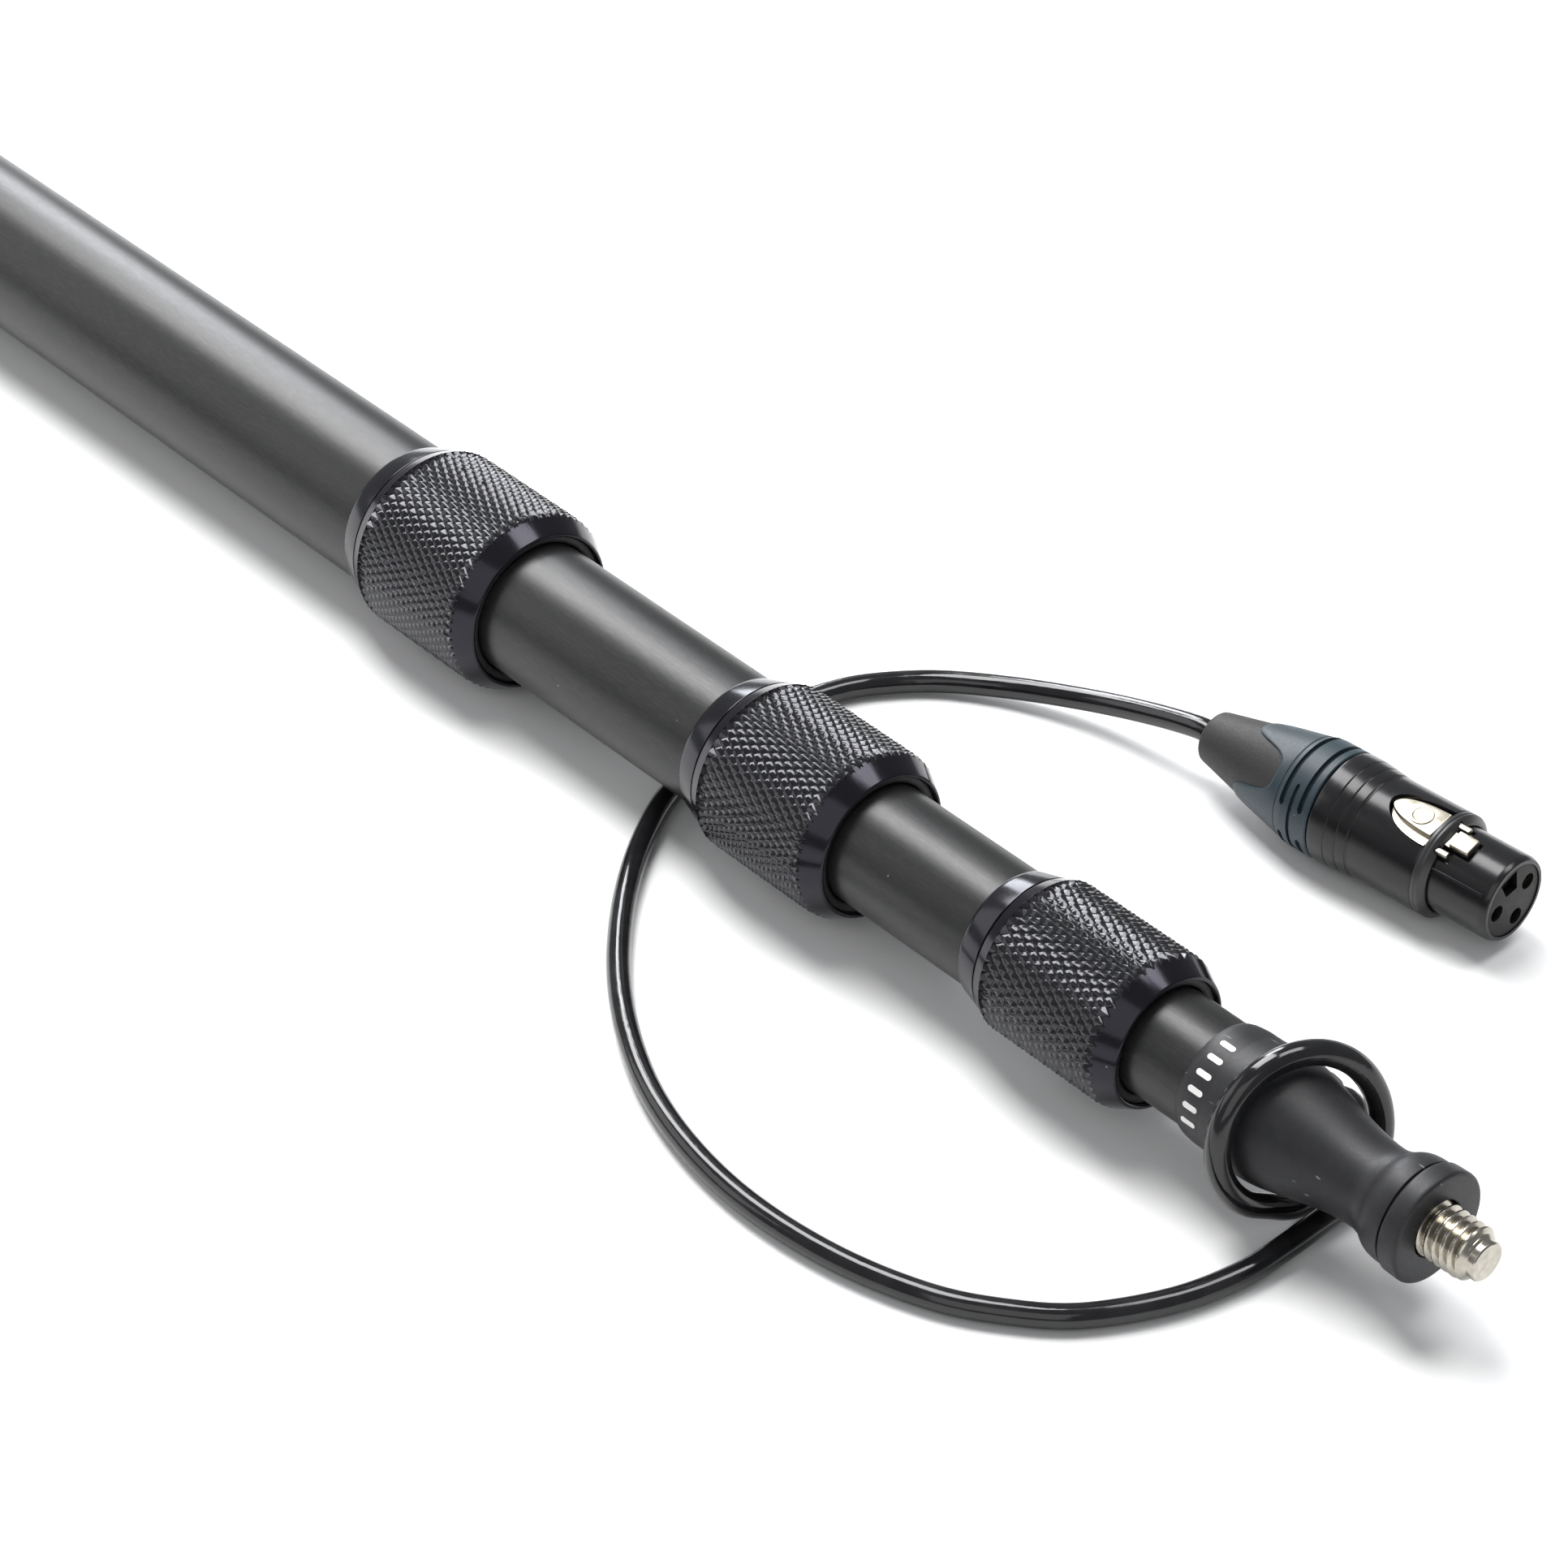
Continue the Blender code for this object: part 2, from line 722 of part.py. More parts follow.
def build():
    on_axis = (0.0, 0.0, AXIS_Z)
    base = empty("base_section", on_axis)
    second = empty("section_2", on_axis)
    third = empty("section_3", on_axis)
    tip = empty("tip_section", on_axis)
    base_bore, second_bore, third_bore = BASE_R - WALL, SECOND_R - WALL, THIRD_R - WALL
    tip_bore = TIP_R - WALL
    tube("base_tube", TUBE_STOP + GAP, LOCKS[1][0] + TUBE_INTO_FERRULE, BASE_R, base)
    tube("tube_2", SECOND_REAR, LOCKS[2][0] + TUBE_INTO_FERRULE, SECOND_R, second)
    tube("tube_3", THIRD_REAR, LOCKS[3][0] + TUBE_INTO_FERRULE, THIRD_R, third)
    tube("tip_tube", TIP_REAR, TIP_FRONT, TIP_R, tip)
    for number, section in ((1, base), (2, second), (3, third)):
        twist_lock(number, section, empty(f"lock_{number}", on_axis))
    guide_bush("guide_bush_2", SECOND_REAR, base_bore, second_bore, 0.0090, second)
    guide_bush("guide_bush_3", THIRD_REAR, second_bore, third_bore, 0.0082, third)
    guide_bush("guide_bush_tip", TIP_REAR, third_bore, tip_bore, 0.0066, tip)
    butt_end(base)
    tip_end(tip)
    coil = ((0.2650, 0.0), (0.2650, COIL_R), (-0.2960, COIL_R), (-0.2960, 0.0))
    turned("coiled_cable", coil, (CORD_BLACK, 0.4, 0.0), tip, solid=True, sides=16)
    lead("mic_lead", lead_points(), CORD_R, (CORD_BLACK, 0.25, 0.0))
    plug = empty("plug", PLUG_AT, (0.0, 0.0, math.radians(PLUG_TURN)))
    shell = plug_body(plug)
    plug_contacts(plug)
    plug_latch(plug, shell)


clear_scene()
PARTS = collection("boom_pole")
CUTTERS = collection("cutters")
build()
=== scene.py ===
"""Telescopic boom pole: visible pieces, materials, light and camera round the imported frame."""

import math

import bmesh
import bpy
from mathutils import Matrix, Vector


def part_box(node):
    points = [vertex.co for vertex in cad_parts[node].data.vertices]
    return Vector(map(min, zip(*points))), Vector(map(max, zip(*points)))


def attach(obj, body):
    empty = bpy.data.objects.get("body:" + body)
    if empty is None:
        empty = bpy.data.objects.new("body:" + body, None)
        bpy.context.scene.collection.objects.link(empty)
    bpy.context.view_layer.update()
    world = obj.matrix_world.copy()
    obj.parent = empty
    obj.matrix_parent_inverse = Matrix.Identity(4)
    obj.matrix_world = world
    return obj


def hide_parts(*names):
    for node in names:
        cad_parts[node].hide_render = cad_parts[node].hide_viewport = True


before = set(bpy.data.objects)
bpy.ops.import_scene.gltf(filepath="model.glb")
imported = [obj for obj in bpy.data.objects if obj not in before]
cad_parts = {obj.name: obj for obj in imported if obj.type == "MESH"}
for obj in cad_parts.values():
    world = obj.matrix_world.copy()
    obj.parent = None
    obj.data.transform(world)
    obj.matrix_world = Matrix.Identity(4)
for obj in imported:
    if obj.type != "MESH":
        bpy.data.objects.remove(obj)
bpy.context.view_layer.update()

AXIS_Z = 0.0175  # height of the pole's axis
ROUND = 160  # segments round the pole
PLUG_ROUND = 128  # segments round the plug

# Twist locks: ferrule's rear, outer and inner tube's radius, crest radius, knurl's length,
# and how many diamonds stand round the collar
LOCKS = {
    1: (0.0656, 0.0143, 0.0127, 0.0175, 0.0268, 60),
    2: (0.1584, 0.0127, 0.0111, 0.01586, 0.0253, 54),
    3: (0.2263, 0.0111, 0.009525, 0.01406, 0.0249, 48),
}
LOCK_SECTIONS = {1: "base_section", 2: "section_2", 3: "section_3"}
FERRULE_RING = 0.0051  # length of the ferrule's ring behind the collar
GROOVE = 0.0003  # between the ferrule's ring and the collar
PLAIN_BAND = 0.0022  # smooth band behind the knurl
LIP = 0.0042  # bevelled lip in front of the knurl
DIAMOND_LENGTH = 0.0030
KNURL_DEPTH = 0.00062
TIP_FLAT = 0.00007  # how far the crest truncates the pyramids

# Tubes: body and outside radius
TUBES = {
    "base_tube": ("base_section", 0.0143),
    "tube_2": ("section_2", 0.0127),
    "tube_3": ("section_3", 0.0111),
    "tip_tube": ("tip_section", 0.009525),
}
WALL = 0.0012

# Plug: its X runs from the boot's rear end to the mating face, and its latch, tab and
# ridge lean towards -Y by these angles
PLUG_AT = (0.2025, 0.0713, 0.0103)
PLUG_TURN = 3.9
PLUG_LENGTH = 0.0657
LATCH_LEAN = 13.0
TAB_LEAN = 18.0
RIDGE_LEAN = 60.3

# Three pins and contacts: angles from +Y towards +Z, and the radii of their circles
PIN_ANGLES = (10.0, 170.0, 270.0)
PIN_CIRCLE = 0.0039
CONTACT_CIRCLE = 0.0042

# Where the tip ring meets the nose: the ring's face stands a hair behind the nose's
NOSE_REAR = 0.2798
RING_FRONT = 0.27979
RING_R = 0.0105

# Plain print on the tip ring: short bars along the pole, at angles from -Y towards +Z
PRINT_ANGLES = (-4.0, 12.0, 28.0, 44.0, 60.0, 76.0)
PRINT_REAR = 0.2762
PRINT_FRONT = 0.2792
PRINT_WIDTH = 0.0010
PRINT_LOW = 0.0104
PRINT_HIGH = 0.01053

# Microphone lead: it leaves the nose on the far side (x, radius, angle from +Y towards -Z), makes
# one turn round the nose, and lies on the ground (x, y, z) up to the plug
CORD_R = 0.0021
WRAP_R = 0.0136
WRAP_X = 0.2865
WRAP_PITCH = 0.0065
WRAP_TILT = 0.0039
WRAP_FAR_ANGLE = 48.6
EXIT_ROUTE = (
    (0.2866, 0.0130, 12.0),
    (0.2879, 0.0153, 15.0),
    (0.2892, 0.0172, 22.0),
    (0.2903, 0.0182, 33.0),
    (0.2910, 0.0180, 46.0),
    (0.2914, 0.0170, 60.0),
    (0.2915, 0.0158, 75.0),
    (0.2913, 0.0147, 92.0),
)
FLOOR_ROUTE = (
    (0.2972, -0.0080, 0.0027),
    (0.2968, -0.0170, 0.0022),
    (0.2940, -0.0290, 0.0022),
    (0.2874, -0.0417, 0.0022),
    (0.2790, -0.0499, 0.0022),
    (0.2690, -0.0562, 0.0022),
    (0.2542, -0.0611, 0.0022),
    (0.2376, -0.0632, 0.0022),
    (0.2218, -0.0622, 0.0022),
    (0.2060, -0.0582, 0.0022),
    (0.1912, -0.0513, 0.0022),
    (0.1780, -0.0426, 0.0022),
    (0.1665, -0.0326, 0.0022),
    (0.1572, -0.0226, 0.0022),
    (0.1500, -0.0128, 0.0022),
    (0.1450, -0.0040, 0.0022),
    (0.1412, 0.0070, 0.0022),
    (0.1392, 0.0180, 0.0022),
    (0.1392, 0.0290, 0.0022),
    (0.1412, 0.0390, 0.0022),
    (0.1450, 0.0465, 0.0022),
    (0.1515, 0.0545, 0.0023),
    (0.1625, 0.0622, 0.0031),
    (0.1760, 0.0678, 0.0051),
    (0.1885, 0.0702, 0.0079),
)
CORD_SPACING = 0.0012

CAMERA_AT = (0.6476, -0.4128, 0.4845)
CAMERA_LENS = 106.5
CAMERA_DOWN = 36.57
CAMERA_TURN = 49.13

# Lights: place, target, size, power, colour
MIDDLE = (0.15, 0.0, 0.0)
WHITE = (1.0, 1.0, 1.0)
COOL = (0.94, 0.96, 1.0)
LIGHTS = {
    "top_strip": ((-0.50, 0.12, 1.2), (-0.1, 0.0, 0.0), (0.56, 1.3), 28.0, WHITE),
    "top_tip": ((0.45, 0.45, 1.2), (0.3, 0.0, 0.0), (0.50, 0.5), 6.0, WHITE),
    "back_box": ((-1.25, 0.86, 0.9), MIDDLE, (0.46, 0.85), 16.0, COOL),
    "left_box": ((-1.2, -0.95, 0.85), MIDDLE, (1.4, 1.0), 6.0, WHITE),
    "front_box": ((0.9, -1.1, 0.9), MIDDLE, (1.2, 1.2), 5.0, WHITE),
}
WORLD_COLOUR = (0.95, 0.97, 1.0, 1.0)
WORLD_STRENGTH = 0.32
FLOOR_HALF = 6
FLOOR_DROP = 0.0002  # below z 0, so that nothing lies in the floor's plane

AXIS = Matrix.Translation((0.0, 0.0, AXIS_Z))
PLUG = Matrix.Translation(PLUG_AT) @ Matrix.Rotation(math.radians(PLUG_TURN), 4, "Z")
LATCH = PLUG @ Matrix.Rotation(math.radians(LATCH_LEAN), 4, "X")


# ---------------------------------------------------------------- materials


class Nodes:
    """A small helper to build a material's nodes."""

    def __init__(self, name, colour, roughness, metallic=0.0, **sockets):
        self.material = bpy.data.materials.new(name)
        self.material.use_nodes = True
        self.tree = self.material.node_tree
        self.shader = self.tree.nodes["Principled BSDF"]
        self.shader.inputs["Base Color"].default_value = (*colour, 1.0)
        self.shader.inputs["Roughness"].default_value = roughness
        self.shader.inputs["Metallic"].default_value = metallic
        for socket, value in sockets.items():
            self.shader.inputs[socket.replace("_", " ")].default_value = value
        self.place = self.tree.nodes.new("ShaderNodeTexCoord").outputs["Object"]
        self.normal = None

    def link(self, source, target):
        self.tree.links.new(source, target)

    def stretched(self, x=1.0, y=1.0, z=1.0):
        mapping = self.tree.nodes.new("ShaderNodeMapping")
        mapping.inputs["Scale"].default_value = (x, y, z)
        self.link(self.place, mapping.inputs["Vector"])
        return mapping.outputs["Vector"]

    def noise(self, scale, detail=3.0, roughness=0.5, vector=None):
        node = self.tree.nodes.new("ShaderNodeTexNoise")
        node.inputs["Scale"].default_value = scale
        node.inputs["Detail"].default_value = detail
        node.inputs["Roughness"].default_value = roughness
        self.link(vector or self.place, node.inputs["Vector"])
        return node.outputs["Fac"]

    def cells(self, scale, vector=None):
        node = self.tree.nodes.new("ShaderNodeTexVoronoi")
        node.inputs["Scale"].default_value = scale
        self.link(vector or self.place, node.inputs["Vector"])
        return node.outputs["Distance"]

    def ramp(self, source, low, high, start, end):
        """source from low..high mapped to start..end, clamped."""
        node = self.tree.nodes.new("ShaderNodeMapRange")
        node.inputs["From Min"].default_value = low
        node.inputs["From Max"].default_value = high
        node.inputs["To Min"].default_value = start
        node.inputs["To Max"].default_value = end
        self.link(source, node.inputs["Value"])
        return node.outputs["Result"]

    def blend(self, factor, first, second):
        """Mix two colours, given as three numbers or as a socket."""
        node = self.tree.nodes.new("ShaderNodeMix")
        node.data_type = "RGBA"
        self.link(factor, node.inputs["Factor"])
        for socket, value in ((node.inputs[6], first), (node.inputs[7], second)):
            if isinstance(value, tuple):
                socket.default_value = (*value, 1.0)
            else:
                self.link(value, socket)
        return node.outputs[2]

    def multiply(self, first, second):
        node = self.tree.nodes.new("ShaderNodeMath")
        node.operation = "MULTIPLY"
        self.link(first, node.inputs[0])
        if isinstance(second, float):
            node.inputs[1].default_value = second
        else:
            self.link(second, node.inputs[1])
        return node.outputs["Value"]

    def colour(self, socket):
        self.link(socket, self.shader.inputs["Base Color"])

    def roughness(self, socket):
        self.link(socket, self.shader.inputs["Roughness"])

    def bump(self, height, distance, strength=1.0):
        node = self.tree.nodes.new("ShaderNodeBump")
        node.inputs["Strength"].default_value = strength
        node.inputs["Distance"].default_value = distance
        self.link(height, node.inputs["Height"])
        if self.normal:
            self.link(self.normal, node.inputs["Normal"])
        self.normal = node.outputs["Normal"]
        self.link(self.normal, self.shader.inputs["Normal"])


def dusty(nodes, clean, dust, scale, amount=0.055):
    """Sparse specks of dust over a base colour."""
    specks = nodes.ramp(nodes.cells(scale), amount * 0.6, amount, 1.0, 0.0)
    sparse = nodes.ramp(nodes.noise(scale * 0.31, 1.0), 0.60, 0.66, 0.0, 1.0)
    nodes.colour(nodes.blend(nodes.multiply(specks, sparse), clean, dust))


def anodised(name, colour, roughness, grain, metallic=0.75, brushed=0.0):
    """Anodised aluminium; brushed is how far fine lines along the pole change its tone."""
    nodes = Nodes(name, colour, roughness, metallic)
    tone = nodes.noise(38.0, 4.0, 0.6, nodes.stretched(0.25, 1.0, 1.0))
    darker = tuple(channel * 0.86 for channel in colour)
    brighter = tuple(min(1.0, channel * 1.12) for channel in colour)
    base = nodes.blend(nodes.ramp(tone, 0.3, 0.7, 0.0, 1.0), darker, brighter)
    if brushed:
        lines = nodes.noise(3000.0, 3.0, 0.6, nodes.stretched(0.12, 1.0, 1.0))
        pale = tuple(channel * (1.0 + brushed) for channel in colour)
        base = nodes.blend(nodes.ramp(lines, 0.45, 0.75, 0.0, 1.0), base, pale)
        nodes.bump(lines, 0.000003)
    dusty(nodes, base, (0.30, 0.30, 0.29), 260.0, 0.05)
    fine = nodes.noise(2600.0, 2.0, 0.7, nodes.stretched(0.35, 1.0, 1.0))
    nodes.roughness(nodes.ramp(fine, 0.25, 0.75, roughness - 0.035, roughness + 0.035))
    nodes.bump(fine, grain)
    return nodes.material


def moulded(name, colour, roughness, grain, scale=1700.0, **sockets):
    """Plastic or rubber with a fine grain."""
    nodes = Nodes(name, colour, roughness, **sockets)
    tone = nodes.noise(90.0, 4.0, 0.6)
    darker = tuple(channel * 0.82 for channel in colour)
    brighter = tuple(min(1.0, channel * 1.15) for channel in colour)
    base = nodes.blend(nodes.ramp(tone, 0.3, 0.7, 0.0, 1.0), darker, brighter)
    dusty(nodes, base, (0.22, 0.22, 0.21), 420.0, 0.05)
    fine = nodes.noise(scale, 3.0, 0.65)
    nodes.roughness(nodes.ramp(fine, 0.3, 0.7, roughness - 0.04, roughness + 0.04))
    nodes.bump(fine, grain)
    return nodes.material


def scratched_black(name):
    """Matte black finish of the tip, with fine pale scratches and a few rubbed patches."""
    nodes = Nodes(name, (0.011, 0.011, 0.013), 0.46, Specular_IOR_Level=0.36)
    tone = nodes.noise(120.0, 5.0, 0.65)
    darker, brighter = (0.008, 0.008, 0.010), (0.015, 0.015, 0.017)
    base = nodes.blend(nodes.ramp(tone, 0.35, 0.7, 0.0, 1.0), darker, brighter)
    patches = nodes.noise(70.0, 5.0, 0.75, nodes.stretched(0.7, 1.4, 1.0))
    rubbed = nodes.ramp(patches, 0.60, 0.74, 0.0, 0.5)
    base = nodes.blend(rubbed, base, (0.035, 0.035, 0.037))
    where = nodes.ramp(nodes.noise(95.0, 2.0, 0.5), 0.52, 0.60, 0.0, 0.9)
    lines = nodes.ramp(nodes.cells(300.0, nodes.stretched(0.28, 2.4, 1.1)), 0.05, 0.10, 1.0, 0.0)
    nodes.colour(nodes.blend(nodes.multiply(lines, where), base, (0.26, 0.26, 0.26)))
    fine = nodes.noise(1900.0, 3.0, 0.7)
    nodes.roughness(nodes.ramp(fine, 0.3, 0.7, 0.42, 0.52))
    nodes.bump(fine, 0.000012)
    return nodes.material


def turned_steel(name):
    """Bright stainless steel with fine turning marks round X."""
    nodes = Nodes(name, (0.42, 0.40, 0.34), 0.2, 1.0)
    marks = nodes.noise(60.0, 4.0, 0.7, nodes.stretched(70.0, 1.0, 1.0))
    nodes.roughness(nodes.ramp(marks, 0.3, 0.7, 0.14, 0.26))
    stain = nodes.noise(700.0, 4.0, 0.6)
    darker, brighter = (0.36, 0.335, 0.285), (0.48, 0.455, 0.395)
    nodes.colour(nodes.blend(nodes.ramp(stain, 0.35, 0.7, 0.0, 1.0), darker, brighter))
    nodes.bump(marks, 0.000006)
    return nodes.material


def plated(name, colour, roughness):
    """Plated metal, very slightly clouded."""
    nodes = Nodes(name, colour, roughness, 1.0)
    cloud = nodes.noise(900.0, 4.0, 0.6)
    darker = tuple(channel * 0.95 for channel in colour)
    nodes.colour(nodes.blend(nodes.ramp(cloud, 0.3, 0.7, 0.0, 1.0), darker, colour))
    nodes.roughness(nodes.ramp(cloud, 0.3, 0.7, roughness - 0.03, roughness + 0.04))
    nodes.bump(nodes.noise(2400.0, 2.0), 0.000004)
    return nodes.material


def jacket(name):
    """Glossy black cord jacket, very slightly uneven."""
    nodes = Nodes(name, (0.008, 0.008, 0.009), 0.11)
    wave = nodes.noise(210.0, 2.0, 0.5)
    nodes.roughness(nodes.ramp(wave, 0.3, 0.7, 0.08, 0.15))
    darker, brighter = (0.006, 0.006, 0.007), (0.011, 0.011, 0.012)
    nodes.colour(nodes.blend(nodes.ramp(wave, 0.3, 0.7, 0.0, 1.0), darker, brighter))
    nodes.bump(wave, 0.00007)
    nodes.bump(nodes.noise(1500.0, 2.0), 0.000004)
    return nodes.material


TUBE_BLACK = anodised("tube_black", (0.041, 0.041, 0.041), 0.37, 0.000006, brushed=0.2)
RING_BLACK = anodised("ring_black", (0.028, 0.028, 0.033), 0.17, 0.000003)
KNURL_BLACK = anodised("knurl_black", (0.036, 0.036, 0.040), 0.145, 0.000002)
LIP_BLACK = anodised("lip_black", (0.019, 0.018, 0.024), 0.15, 0.000002)
SHELL_BLACK = anodised("shell_black", (0.014, 0.014, 0.015), 0.23, 0.000003, 0.4)
NOSE_BLACK = scratched_black("nose_black")
TIP_RING_BLACK = moulded("tip_ring_black", (0.020, 0.020, 0.021), 0.34, 0.000005)
STEEL = turned_steel("steel")
NICKEL = plated("nickel", (0.50, 0.46, 0.38), 0.30)
PIN_SILVER = plated("pin_silver", (0.80, 0.79, 0.77), 0.22)
GOLD = plated("gold", (0.83, 0.62, 0.28), 0.22)
CORD_BLACK = jacket("cord_black")
BOOT_RUBBER = moulded("boot_rubber", (0.013, 0.012, 0.012), 0.60, 0.00006, 1500.0)
SLATE = moulded("slate", (0.011, 0.026, 0.036), 0.5, 0.00001, 1800.0)
RUBBER = moulded("rubber", (0.016, 0.016, 0.017), 0.66, 0.00002, 1200.0)
INSERT_BLACK = moulded(
    "insert_black", (0.005, 0.005, 0.005), 0.46, 0.000008, Specular_IOR_Level=0.2
)
ACETAL = moulded("acetal", (0.66, 0.66, 0.62), 0.48, 0.000008)
PRINT = moulded("print", (0.72, 0.72, 0.70), 0.5, 0.000004)


# ---------------------------------------------------------------- shapes


def solid(name, vertices, faces):
    """A mesh with its normals outwards."""
    mesh = bpy.data.meshes.new(name)
    mesh.from_pydata(vertices, [], faces)
    shape = bmesh.new()
    shape.from_mesh(mesh)
    bmesh.ops.recalc_face_normals(shape, faces=shape.faces)
    shape.to_mesh(mesh)
    shape.free()
    return mesh


def publish(name, mesh, material, body, nodes=(), place=None, smooth=32.0):
    """Add a mesh as a piece that rides on a body and stands for some CAD nodes."""
    if place is not None:
        mesh.transform(place)
    mesh.polygons.foreach_set("use_smooth", [True] * len(mesh.polygons))
    mesh.set_sharp_from_angle(angle=math.radians(smooth))
    mesh.materials.clear()
    mesh.materials.append(material)
    thing = bpy.data.objects.new(name, mesh)
    bpy.context.scene.collection.objects.link(thing)
    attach(thing, body)
    if nodes:
        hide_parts(*nodes)
    return thing


def bare(name, mesh):
    """An object that only serves a Boolean, and is removed afterwards."""
    thing = bpy.data.objects.new(name, mesh)
    bpy.context.scene.collection.objects.link(thing)
    return thing


def combined(name, first, second, operation):
    """The mesh of an exact Boolean of two meshes."""
    a, b = bare("first", first), bare("second", second)
    modifier = a.modifiers.new("Boolean", "BOOLEAN")
    modifier.operation = operation
    modifier.solver = "EXACT"
    modifier.object = b
    bpy.context.view_layer.update()
    depsgraph = bpy.context.evaluated_depsgraph_get()
    mesh = bpy.data.meshes.new_from_object(a.evaluated_get(depsgraph))
    mesh.name = name
    for thing in (a, b):
        used = thing.data
        bpy.data.objects.remove(thing, do_unlink=True)
        bpy.data.meshes.remove(used)
    return mesh


def eased(profile, radius, steps=4, closed=True):
    """Round the corners of a profile by arcs that start radius away from each corner."""
    points = [Vector(point[:2]) for point in profile]
    count = len(points)
    result = []
    for i, corner in enumerate(points):
        own = profile[i][2] if len(profile[i]) > 2 else radius
        if not closed and i in (0, count - 1) or own <= 0:
            result.append(tuple(corner))
            continue
        before, after = points[i - 1], points[(i + 1) % count]
        reach = min(own, 0.45 * (before - corner).length, 0.45 * (after - corner).length)
        start = corner + (before - corner).normalized() * reach
        end = corner + (after - corner).normalized() * reach
        for step in range(steps + 1):
            t = step / steps
            point = start * (1 - t) ** 2 + 2 * corner * t * (1 - t) + end * t**2
            result.append(tuple(point))
    return result


def skin(name, rings, closed=False):
    """A mesh through rings of points. closed joins the last ring to the first."""
    vertices, faces, starts = [], [], []
    for ring in rings:
        starts.append((len(vertices), len(ring)))
        vertices.extend(ring)
    pairs = list(zip(starts, starts[1:]))
    if closed:
        pairs.append((starts[-1], starts[0]))
    for (a, count_a), (b, count_b) in pairs:
        if count_a == 1:
            faces += [(a, b + (j + 1) % count_b, b + j) for j in range(count_b)]
        elif count_b == 1:
            faces += [(a + j, a + (j + 1) % count_a, b) for j in range(count_a)]
        else:
            faces += [
                (a + j, a + (j + 1) % count_a, b + (j + 1) % count_b, b + j) for j in range(count_a)
            ]
    return solid(name, vertices, faces)


def ring_at(x, radius, segments):
    """A ring of points about X, or one point on the axis."""
    if radius < 1e-7:
        return [(x, 0.0, 0.0)]
    step = 2 * math.pi / segments
    return [(x, radius * math.cos(step * j), radius * math.sin(step * j)) for j in range(segments)]


def turned(name, profile, radius=0.00025, segments=ROUND, steps=4):
    """Turn (x, radius) points about X. A profile that ends on the axis is a solid piece."""
    solid = profile[0][1] < 1e-7 or profile[-1][1] < 1e-7
    points = eased(profile, radius, steps, closed=not solid)
    return skin(name, [ring_at(x, r, segments) for x, r in points], closed=not solid)


def smooth_profile(points, steps=6):
    """A Catmull-Rom curve through (x, radius) points."""
    return [tuple(p) for p in catmull_rom([Vector((x, r, 0.0)) for x, r in points], steps)]


def catmull_rom(points, steps=12):
    """Points along a smooth curve through the given ones."""
    ends = [2 * points[0] - points[1], *points, 2 * points[-1] - points[-2]]
    dense = []
    for i in range(1, len(ends) - 2):
        a, b, c, d = ends[i - 1 : i + 3]
        for step in range(steps):
            t = step / steps
            dense.append(
                0.5
                * (
                    2 * b
                    + (c - a) * t
                    + (2 * a - 5 * b + 4 * c - d) * t**2
                    + (3 * b - a - 3 * c + d) * t**3
                )
            )
    dense.append(points[-1])
    return dense


def spaced(dense, spacing):
    """Points at even distances along a dense line."""
    total = sum((b - a).length for a, b in zip(dense, dense[1:]))
    count = max(2, round(total / spacing))
    wanted = [total * i / count for i in range(1, count)]
    result = [dense[0]]
    travelled = 0.0
    for a, b in zip(dense, dense[1:]):
        length = (b - a).length
        while wanted and travelled + length >= wanted[0]:
            result.append(a.lerp(b, (wanted[0] - travelled) / length))
            wanted.pop(0)
        travelled += length
    result.append(dense[-1])
    return result


def block(name, low, high, radius):
    """A box with rounded edges."""
    mesh = bpy.data.meshes.new(name)
    shape = bmesh.new()
    bmesh.ops.create_cube(shape, size=1.0)
    size = Vector(high) - Vector(low)
    middle = (Vector(high) + Vector(low)) / 2
    place = Matrix.Translation(middle) @ Matrix.Diagonal((*size, 1.0))
    bmesh.ops.transform(shape, matrix=place, verts=shape.verts)
    if radius:
        edges = shape.edges[:]
        bmesh.ops.bevel(shape, geom=edges, offset=radius, segments=3, profile=0.5, affect="EDGES")
    shape.to_mesh(mesh)
    shape.free()
    return mesh


def prism(name, outline, low, high, radius=0.0):
    """An (x, y) outline pulled from z low to z high."""
    mesh = bpy.data.meshes.new(name)
    shape = bmesh.new()
    corners = [shape.verts.new((x, y, low)) for x, y in outline]
    face = shape.faces.new(corners)
    pulled = bmesh.ops.extrude_face_region(shape, geom=[face])
    top = [v for v in pulled["geom"] if isinstance(v, bmesh.types.BMVert)]
    bmesh.ops.translate(shape, vec=(0.0, 0.0, high - low), verts=top)
    bmesh.ops.recalc_face_normals(shape, faces=shape.faces)
    if radius:
        edges = [e for e in shape.edges if all(v.co.z > high - 1e-6 for v in e.verts)]
        bmesh.ops.bevel(shape, geom=edges, offset=radius, segments=3, profile=0.5, affect="EDGES")
    shape.to_mesh(mesh)
    shape.free()
    return mesh


def rod(name, start, end, radius, segments=32):
    """A plain cylinder for a Boolean."""
    start, end = Vector(start), Vector(end)
    mesh = bpy.data.meshes.new(name)
    shape = bmesh.new()
    bmesh.ops.create_cone(
        shape,
        cap_ends=True,
        segments=segments,
        radius1=radius,
        radius2=radius,
        depth=(end - start).length,
    )
    turn = (end - start).to_track_quat("Z", "Y").to_matrix().to_4x4()
    place = Matrix.Translation((start + end) / 2) @ turn
    bmesh.ops.transform(shape, matrix=place, verts=shape.verts)
    shape.to_mesh(mesh)
    shape.free()
    return mesh


# ---------------------------------------------------------------- camera and lead


